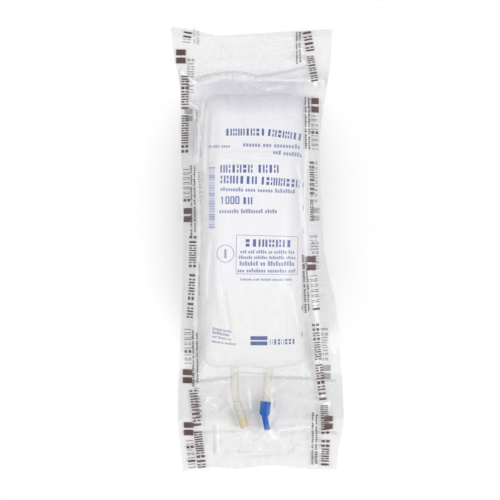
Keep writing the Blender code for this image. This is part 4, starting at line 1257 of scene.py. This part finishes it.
def down_bar(top, length, width, pieces):
    """Boxes of a bar that runs down the photograph from a point."""
    return bar_strokes(top, (top[0], top[1] + length), width, pieces)


def ladder_strokes():
    """Boxes of the bar ladder: level bars of seeded widths, evenly spaced down its length."""
    rng = np.random.default_rng(3)
    top = np.array(LADDER_TOP)
    pitch = (LADDER_BOTTOM - top) / LADDER_BARS
    half = np.array([LADDER_WIDTH / 2, 0.0])
    middles = top + pitch * (np.arange(LADDER_BARS)[:, None] + 0.5)
    widths = rng.choice([0.3, 0.5, 0.75], LADDER_BARS) * pitch[1]
    return np.concatenate([bar_strokes(at - half, at + half, width, 2) for at, width in zip(middles, widths)])


def figure_strokes():
    """Boxes of the volume figure: plain digits, each a 1 or a ring of straight strokes."""
    corner, height, digits = VOLUME_FIGURE
    weight, width = DIGIT_WEIGHT, DIGIT_WIDTH
    one = (0.28, 0, 0.28 + weight, 1), (0.10, 0.72, 0.28, 0.86)
    sides = (0, 0.1, weight, 0.9), (width - weight, 0.1, width, 0.9)
    ends = (0.08, 0, width - 0.08, 0.14), (0.08, 0.86, width - 0.08, 1)
    shapes = {"1": one, "0": sides + ends}
    boxes = [box for place, digit in enumerate(digits) for box in moved(shapes[digit], place)]
    return corner + corners_of(boxes) * (height * 0.64, -height)


def bag_bold_strokes():
    """The bag's bold lines, its volume figure and its sign with the line beside it."""
    return [
        every_line(BAG_BOLD_LINES, weight=0.27, seed=100),
        every_line((VOLUME_UNIT_LINE,), weight=0.26, seed=120),
        figure_strokes(),
        mark_strokes((BAG_MARK,)),
        every_line((BAG_MARK_LINE,), weight=0.14, seed=150),
    ]


def bag_fine_strokes():
    """The panel's frame, the bag's fine lines, and the ring with its bar."""
    box_sides = zip(BOX_CORNERS, BOX_CORNERS[1:] + BOX_CORNERS[:1])
    foot = RING_MIDDLE[0], RING_MIDDLE[1] + RING_BAR_HALF_LENGTH
    return [
        *(bar_strokes(*ends, BOX_LINE_WIDTH, pieces=12) for ends in box_sides),
        every_line(BAG_FINE_LINES, weight=0.3, seed=160, plain=True),
        ring_strokes(np.array(RING_MIDDLE), RING_RADIUS, RING_WIDTH),
        down_bar(foot, -2 * RING_BAR_HALF_LENGTH, RING_BAR_WIDTH, 4),
    ]


def bag_faint_strokes():
    """The bar ladder and the ticks at the bag's right edge."""
    return [ladder_strokes(), *(down_bar(tick, TICK_LENGTH, TICK_WIDTH, 2) for tick in EDGE_TICKS)]


def upper_film_strokes():
    """The print along both sides of the overwrap's upper film."""
    return [
        every_line(DARK_BOLD_LINES, weight=0.28, seed=200),
        every_line(DARK_THIN_LINES, weight=0.13, seed=240),
        every_line(DARK_FINE_LINES, weight=0.3, seed=260, plain=True),
        mark_strokes(DARK_MARKS),
    ]


def lower_film_strokes():
    """The same print on its lower film, where it shows from its back."""
    return [
        every_line(GREY_BOLD_LINES, weight=0.26, seed=300),
        every_line(GREY_FINE_LINES, weight=0.3, seed=320, plain=True),
        mark_strokes(GREY_MARKS),
    ]


def print_piece(name, boxes, height_at, level, lift, material):
    """A mesh of printed boxes laid on a surface. Each box is a small grid between its four corners."""
    boxes = np.concatenate(boxes)
    share = np.linspace(0.0, 1.0, PRINT_STEPS)
    right, up = np.meshgrid(share, share)
    weights = np.stack([(1 - right) * (1 - up), right * (1 - up), right * up, (1 - right) * up], axis=-1)
    places = np.einsum("rcw,nwk->nrck", weights, on_table(boxes, level))
    x, y = places[..., 0], places[..., 1]
    points = np.stack([x, y, height_at(x, y) + lift], axis=-1)
    faces = grid_faces(PRINT_STEPS, PRINT_STEPS)
    every = (faces[None] + PRINT_STEPS**2 * np.arange(len(boxes))[:, None, None]).reshape(-1, 4)
    facing_down = np.cross(points[:, 0, -1] - points[:, 0, 0], points[:, -1, 0] - points[:, 0, 0])[:, 2] < 0
    flipped = np.repeat(facing_down, len(faces))
    every[flipped] = every[flipped][:, ::-1]
    return made_piece(name, points, every, material)


def brighter(colour, times, more=0.0):
    """A colour times a number and raised a little, each part at most 1."""
    return tuple(min(1.0, part * times + more) for part in colour)


def ink(name, colour, alpha):
    """Flat satin ink, a little uneven in colour and cover."""
    finish = Finish(name)
    uneven = finish.noise(900.0)
    return finish.set(
        base_color=finish.mix((uneven * 1.6 - 0.5).clamped(), colour, brighter(colour, 1.5, 0.02)),
        roughness=0.35,
        alpha=(uneven * 0.5 + (alpha - 0.25)).clamped(),
    )


def overwrap_finish(name, darker):
    """Clear crinkled film: nearly see-through face on, more solid edge on, with painted white glints on its
    crests, painted reflection edge on, and painted shade in its valleys and in bands across it.
    """
    look = settings().film
    finish = Finish(name)
    height = finish.axis("Y")
    patches = finish.noise(38.0, 3.0)
    along = finish.noise(90.0, at=finish.drawn_out(0.40))
    fine = finish.noise(420.0)
    cells = {"Vector": finish.drawn_out(0.55), "Scale": 75.0, "Randomness": 1.0}
    edge = finish.node("ShaderNodeTexVoronoi", {"feature": "DISTANCE_TO_EDGE"}, cells)
    # Painted glints: thin white lines along cell edges, in patches
    line = (1.0 - edge * 9.0).clamped() * (patches * 3.0 - 1.4).clamped()
    crease, free = finish.attribute("crease"), finish.attribute("free")
    # Painted highlight on crests and painted shade in valleys
    crest, painted_valley_shade = crease.clamped(), (0.0 - crease).clamped()
    # Painted sheen: soft white patches drawn out along the pack
    painted_sheen = ((along - 0.52) * 4.0).clamped() * 0.16
    white = (0.3 * line + painted_sheen + crest).clamped() * (0.45 + 0.55 * free)
    # Edge on the film is more solid and is painted white as a reflection, less so past the bag's foot
    edge_on_haze_and_sheen = finish.facing() * (1.0 - 0.85 * ((PORT_FOLD_Y - height) / FOOT_CLEARING).clamped())
    haze = look.haze
    # Painted shade: denser, darker bands across the film
    for middle, half, softness, strength in PAINTED_SHADE_BANDS:
        reach = (half + softness - (height + 0.006 * (along - 0.5) - middle).size()) / softness
        haze = haze + reach.clamped() * strength
    solid = haze * (0.25 + 0.75 * free) + darker
    solid = solid + look.rim * edge_on_haze_and_sheen + look.streaks * white + look.valleys * painted_valley_shade
    return finish.set(
        base_color=finish.mix((white + 1.2 * edge_on_haze_and_sheen).clamped(), look.colour, look.white),
        roughness=0.14 + 0.14 * patches,
        ior=2.1,
        specular_ior_level=0.5,
        alpha=solid.clamped() * finish.shadow_share(0.2),
        normal=finish.bump(along + 0.15 * fine + 0.5 * line, 0.30, 0.0006),
    )


def bag_finish():
    """Soft translucent film: white over the liquid, violet-grey at the flap, partly the tint of film lying on
    film and partly painted shade that also covers the shoulder below it, and painted shade on its right side.
    """
    look = settings().bag
    finish = Finish("soft bag film")
    across, height = finish.axis("X") - BAG_X, finish.axis("Y")
    cloud = finish.noise(26.0)
    streaks = finish.noise(120.0, 3.0, finish.drawn_out(0.08))
    # Painted shade over the flap and the shoulder below it; at the flap it is partly the doubled film's own
    # tint
    flap = ((height - FLAP_AND_SHOULDER_SHADE_Y) / FLAP_AND_SHOULDER_SHADE_LENGTH + 0.5 * (cloud - 0.5)).clamped()
    beside = (across.size() - (FILL_HALF_WIDTH - SIDE_WELD / 2)) / SIDE_WELD
    below = (FILL_PORT_Y + SIDE_WELD / 2 - height) / SIDE_WELD
    weld = beside.clamped().larger(below.clamped() * 0.3)
    # Painted shade, darker towards the bag's right side
    right_side_painted_shade = across * (RIGHT_SIDE_PAINTED_SHADE / FILL_HALF_WIDTH)
    # How far the bag's colour turns to the flap tint and painted shade, with random streaks
    flap_tint_and_painted_shade = (flap * 0.95 + 0.6 * (streaks - 0.48) + right_side_painted_shade).clamped()
    upper_half = ((height - LOWER_HALF_Y) / LOWER_HALF_LENGTH).clamped()
    solid = look.haze + 0.12 * finish.facing() - 0.60 * flap - 0.68 * weld
    return finish.set(
        base_color=finish.mix(flap_tint_and_painted_shade, finish.mix(upper_half, look.low, look.colour), look.flap_tint_and_painted_shade),
        roughness=0.50 + 0.12 * cloud,
        specular_ior_level=0.3,
        alpha=solid.clamped() * finish.shadow_share(0.5),
        normal=finish.bump(finish.noise(1400.0), 0.06, 0.0003),
    )


def liquid_finish():
    """Clear liquid: a faint cool tint that deepens edge on."""
    look = settings().bag
    finish = Finish("clear liquid")
    swirl = finish.noise(18.0, 1.0)
    return finish.set(
        base_color=finish.mix(swirl, look.liquid, brighter(look.liquid, 0.94)),
        roughness=0.05 + 0.05 * swirl,
        alpha=(0.10 + 0.12 * finish.facing()).clamped() * finish.shadow_share(0.3),
    )


def tube_finish(name, colour, alpha):
    """Soft clear plastic with a warm tint, hazier edge on, with faint drawing lines along it."""
    finish = Finish(name)
    lines = finish.noise(260.0, at=finish.drawn_out(0.12))
    return finish.set(
        base_color=finish.mix(lines, colour, brighter(colour, 1.12)),
        roughness=0.16 + 0.14 * lines,
        alpha=(alpha + 0.45 * finish.facing() ** 2).clamped() * finish.shadow_share(0.5),
        normal=finish.bump(lines, 0.10, 0.0003),
    )


def moulded_finish(name, colour, grain_size, shine=0.5):
    """Moulded plastic or rubber: a fine grain and slightly uneven colour."""
    finish = Finish(name)
    cloud = finish.noise(140.0)
    return finish.set(
        base_color=finish.mix(cloud, colour, brighter(colour, 1.25)),
        roughness=0.47 + 0.16 * cloud,
        specular_ior_level=shine,
        normal=finish.bump(finish.noise(grain_size, 3.0), 0.08, 0.0002),
    )


def ride_on(piece, body, slot, *nodes):
    """Puts a piece on a body and hides the nodes it stands for; its slot is not used."""
    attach(piece, body)
    if nodes:
        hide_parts(*nodes)


class MakeOverwrap(bpy.types.Operator):
    """Makes the clear overwrap: upper and lower film"""

    bl_idname = "fluid_bag.overwrap"
    bl_label = "Overwrap"

    def execute(self, context):
        points, creases, free = upper_film()
        film = overwrap_finish("clear overwrap film", darker=0.0)
        upper = sheet_piece("overwrap_upper_film", points, film, crease=creases, free=free)
        x, y = points[::2, ::2, 0], points[::2, ::2, 1]
        low = np.stack([x, y, lower_film_height(x, y)], axis=2)
        back_film = overwrap_finish("clear overwrap back film", darker=0.03)
        lower = sheet_piece("overwrap_lower_film", low, back_film, flip=True)
        ride_on(upper, "pack", "overwrap_film", "overwrap")
        ride_on(lower, "pack", "overwrap_film")
        return {"FINISHED"}


class MakeBag(bpy.types.Operator):
    """Makes the filled bag and the liquid in it"""

    bl_idname = "fluid_bag.bag"
    bl_label = "Bag and liquid"

    def execute(self, context):
        shell = shell_piece("bag_shell", *bag_shell(), bag_finish())
        cut_away(shell, slot_cutter())
        level_normals(shell, BAG_LIFT)
        ride_on(shell, "pack", "bag_film", "bag_film")
        liquid = shell_piece("liquid", *liquid_shell(), liquid_finish())
        ride_on(liquid, "pack", "saline", "saline_fill")
        return {"FINISHED"}


class MakePrint(bpy.types.Operator):
    """Lays the print on the bag and on both films of the overwrap"""

    bl_idname = "fluid_bag.print"
    bl_label = "Print"

    def execute(self, context):
        inks = settings().ink
        on_bag = "bag_film", bag_top, BAG_PRINT_LEVEL, PRINT_LIFT
        on_film = "overwrap_film", upper_film_height, FILM_PRINT_LEVEL, FILM_PRINT_LIFT
        on_back = "overwrap_film", lower_film_height, 0.0, PRINT_LIFT
        blue, fine_blue = ink("blue ink", inks.blue, 0.80), ink("fine blue ink", inks.blue, 0.48)
        pale, dark = ink("pale blue ink", inks.pale, 0.68), ink("dark brown ink", inks.dark, 0.92)
        back = ink("ink from its back", inks.grey, 0.55)
        prints = (
            ("bag_print_bold", bag_bold_strokes(), on_bag, blue),
            ("bag_print_fine", bag_fine_strokes(), on_bag, fine_blue),
            ("bag_print_ladder", bag_faint_strokes(), on_bag, pale),
            ("overwrap_print_upper", upper_film_strokes(), on_film, dark),
            ("overwrap_print_lower", lower_film_strokes(), on_back, back),
        )
        for name, boxes, (slot, height_at, level, lift), material in prints:
            ride_on(print_piece(name, boxes, height_at, level, lift, material), "pack", slot)
        return {"FINISHED"}


class MakePorts(bpy.types.Operator):
    """Makes the injection port and the spike port with its pull-off cap"""

    bl_idname = "fluid_bag.ports"
    bl_label = "Ports"

    def execute(self, context):
        colours = settings().ports
        soft = tube_finish("soft clear tube", colours.tube, 0.14)
        clear = tube_finish("clear sleeve plastic", colours.sleeve, 0.28)
        rubber = moulded_finish("cream rubber", colours.septum, grain_size=900.0)
        blue = moulded_finish("blue cap plastic", colours.cap, grain_size=700.0, shine=0.08)
        self.make_injection_port(soft, clear, rubber)
        self.make_spike_port(soft, clear)
        self.make_cap(blue)
        return {"FINISHED"}

    def make_injection_port(self, soft, clear, rubber):
        """The bent tube, the sleeve over its end and the stopper with its rounded, dimpled head."""
        line, out = injection_line(), injection_out()
        tube = tube_piece("injection_tube", line, INJECTION_RADIUS, INJECTION_WALL, soft)
        ride_on(tube, "pack", "port_tube", "injection_port_tube")

        edge, inside = SOFT_EDGE / 2, SLEEVE_RADIUS - SLEEVE_WALL
        first, last = -SLEEVE_OVER_TUBE, SLEEVE_LENGTH - SLEEVE_OVER_TUBE
        sleeve = turned_piece("injection_sleeve", [
            (first, inside), (first, SLEEVE_RADIUS - edge), (first + edge, SLEEVE_RADIUS),
            (last - edge, SLEEVE_RADIUS), (last, SLEEVE_RADIUS - edge), (last, inside),
        ], line[-1], out, clear)
        ride_on(sleeve, "pack", "port_sleeve", "injection_port_sleeve")

        seat = last + GAP
        plug_end, tip = seat - SEPTUM_PLUG_LENGTH, seat + SEPTUM_HEAD_LENGTH
        dimple = tip - SEPTUM_DIMPLE_DEPTH
        middle, middle_radius = tip - SEPTUM_ROUND_EDGE, SEPTUM_HEAD_RADIUS - SEPTUM_ROUND_EDGE
        turn = np.linspace(0.0, math.pi / 2, 7)
        rim = zip(middle + SEPTUM_ROUND_EDGE * np.sin(turn), middle_radius + SEPTUM_ROUND_EDGE * np.cos(turn))
        septum = turned_piece("injection_septum", [
            (plug_end, 0.0), (plug_end, SEPTUM_PLUG_RADIUS), (seat, SEPTUM_PLUG_RADIUS),
            (seat, SEPTUM_HEAD_RADIUS), *rim, (tip, SEPTUM_DIMPLE_RADIUS),
            (dimple, SEPTUM_DIMPLE_RADIUS - SEPTUM_DIMPLE_DEPTH / 2), (dimple, 0.0),
        ], line[-1], out, rubber)
        ride_on(septum, "pack", "septum_rubber", "injection_port_septum")

    def make_spike_port(self, soft, clear):
        """The straight tube and the thin cup inside its end."""
        line = spike_line()
        spike = tube_piece("spike_tube", line, SPIKE_RADIUS, SPIKE_WALL, soft)
        ride_on(spike, "pack", "port_tube", "spike_port_tube")

        outside = SPIKE_RADIUS - SPIKE_WALL - GAP
        inside, floor = outside - MEMBRANE_WALL, MEMBRANE_START + MEMBRANE_WALL
        membrane = turned_piece("spike_membrane", [
            (MEMBRANE_START, 0.0), (MEMBRANE_START, outside), (MEMBRANE_END, outside), (MEMBRANE_END, inside),
            (floor, inside), (floor, 0.0),
        ], line[-1], SPIKE_OUT, clear)
        ride_on(membrane, "pack", "port_sleeve", "spike_port_membrane")

    def make_cap(self, blue):
        """The cap's socket and shoulder, joined to its bent, flattened tail."""
        mouth, knee, tip = cap_line()
        socket, edge, cut = SPIKE_RADIUS + GAP, SOFT_EDGE, SOFT_EDGE * 0.3
        knee_along = CAP_END + CAP_SHOULDER
        body = turned_piece("spike_cap_body", [
            (CAP_SOCKET_DEPTH, 0.0), (CAP_SOCKET_DEPTH, socket), (0.0, socket), (0.0, CAP_RADIUS - edge),
            (cut, CAP_RADIUS - cut), (edge, CAP_RADIUS), (CAP_END - edge, CAP_RADIUS),
            (CAP_END - cut, CAP_RADIUS - cut), (CAP_END + CAP_SHOULDER * 0.5, CAP_RADIUS - 2 * edge),
            (knee_along, CAP_TAIL_RADIUS + edge / 2), (knee_along, 0.0),
        ], mouth, SPIKE_OUT, blue)
        ride_on(body, "spike_cap", "cap_plastic", "spike_port_cap")

        inner_end, length = -2 * edge, np.linalg.norm(tip - knee)
        tail = turned_piece("spike_cap_tail", [
            (inner_end, 0.0), (inner_end, CAP_TAIL_RADIUS), (length - edge, CAP_TAIL_RADIUS),
            (length - cut, CAP_TAIL_RADIUS - cut), (length, CAP_TAIL_RADIUS - edge), (length, 0.0),
        ], knee, tip - knee, blue, flat=CAP_TAIL_FLATNESS)
        ride_on(tail, "spike_cap", "cap_plastic")


class MakeStage(bpy.types.Operator):
    """Makes the pale floor, the soft studio light and the camera"""

    bl_idname = "fluid_bag.stage"
    bl_label = "Stage"

    def execute(self, context):
        look = settings().stage
        finish = Finish("pale floor")
        finish.set(
            base_color=(*look.floor, 1.0), roughness=0.9, emission_strength=look.whiter,
            emission_color=finish.mix(finish.in_view(), (0.0, 0.0, 0.0), (1.0, 1.0, 1.0)),
        )
        ends = -FLOOR_HALF_SIZE, FLOOR_HALF_SIZE
        corners = np.array([[(x, y, -FLOOR_DROP) for x in ends] for y in ends])
        sheet_piece("floor", corners, finish.owner)

        scene = context.scene
        room = Finish("room light", bpy.data.worlds.new("room light"), "Background")
        brightness = room.in_view() * (1.0 - look.world) + look.world
        scene.world = room.set(color=(1.0, 1.0, 1.0, 1.0), strength=brightness)
        self.add_lamp("main lamp", MAIN_LAMP_PLACE, MAIN_LAMP_SIZE, look.key)
        self.add_lamp("side lamp", SIDE_LAMP_PLACE, SIDE_LAMP_SIZE, look.fill)

        camera = bpy.data.cameras.new("camera")
        camera.sensor_width = SENSOR_WIDTH
        camera.lens = SENSOR_WIDTH * CAMERA_HEIGHT / (2 * PHOTO_MIDDLE * PIXEL)
        camera.clip_end = SIGHT_LENGTH
        scene.camera = put_in_scene("camera", camera, (CAMERA_X, CAMERA_Y, CAMERA_HEIGHT))
        scene.view_settings.view_transform = "Standard"
        scene.cycles.transparent_max_bounces = CLEAR_LAYERS
        return {"FINISHED"}

    def add_lamp(self, name, place, size, power):
        """A square soft lamp that faces the middle of the pack."""
        lamp = bpy.data.lights.new(name, "AREA")
        lamp.size = size
        lamp.energy = power
        thing = put_in_scene(name, lamp, place)
        thing.rotation_euler = (-Vector(place)).to_track_quat("-Z", "Y").to_euler()


class FluidBagPanel(bpy.types.Panel):
    """Buttons and settings in the sidebar"""

    bl_idname = "VIEW3D_PT_fluid_bag"
    bl_label = "Fluid bag"
    bl_space_type = "VIEW_3D"
    bl_region_type = "UI"
    bl_category = "Fluid bag"

    def draw(self, context):
        for operator in OPERATORS:
            self.layout.operator(operator.bl_idname)
        for group in ("film", "bag", "ink", "ports", "stage"):
            box = self.layout.box()
            settings_group = getattr(settings(), group)
            for key in settings_group.__annotations__:
                box.prop(settings_group, key)


OPERATORS = (MakeStage, MakeBag, MakePorts, MakeOverwrap, MakePrint)
GROUPS = (FilmSettings, BagSettings, PrintSettings, PortSettings, StageSettings)
CLASSES = (*GROUPS, FluidBagSettings, *OPERATORS, FluidBagPanel)


def register():
    for each in CLASSES:
        bpy.utils.register_class(each)
    bpy.types.Scene.fluid_bag = PointerProperty(type=FluidBagSettings)


def unregister():
    del bpy.types.Scene.fluid_bag
    for each in reversed(CLASSES):
        bpy.utils.unregister_class(each)


def main():
    register()
    for operator in OPERATORS:
        getattr(bpy.ops.fluid_bag, operator.bl_idname.split(".")[1])()


if __name__ == "__main__":
    main()
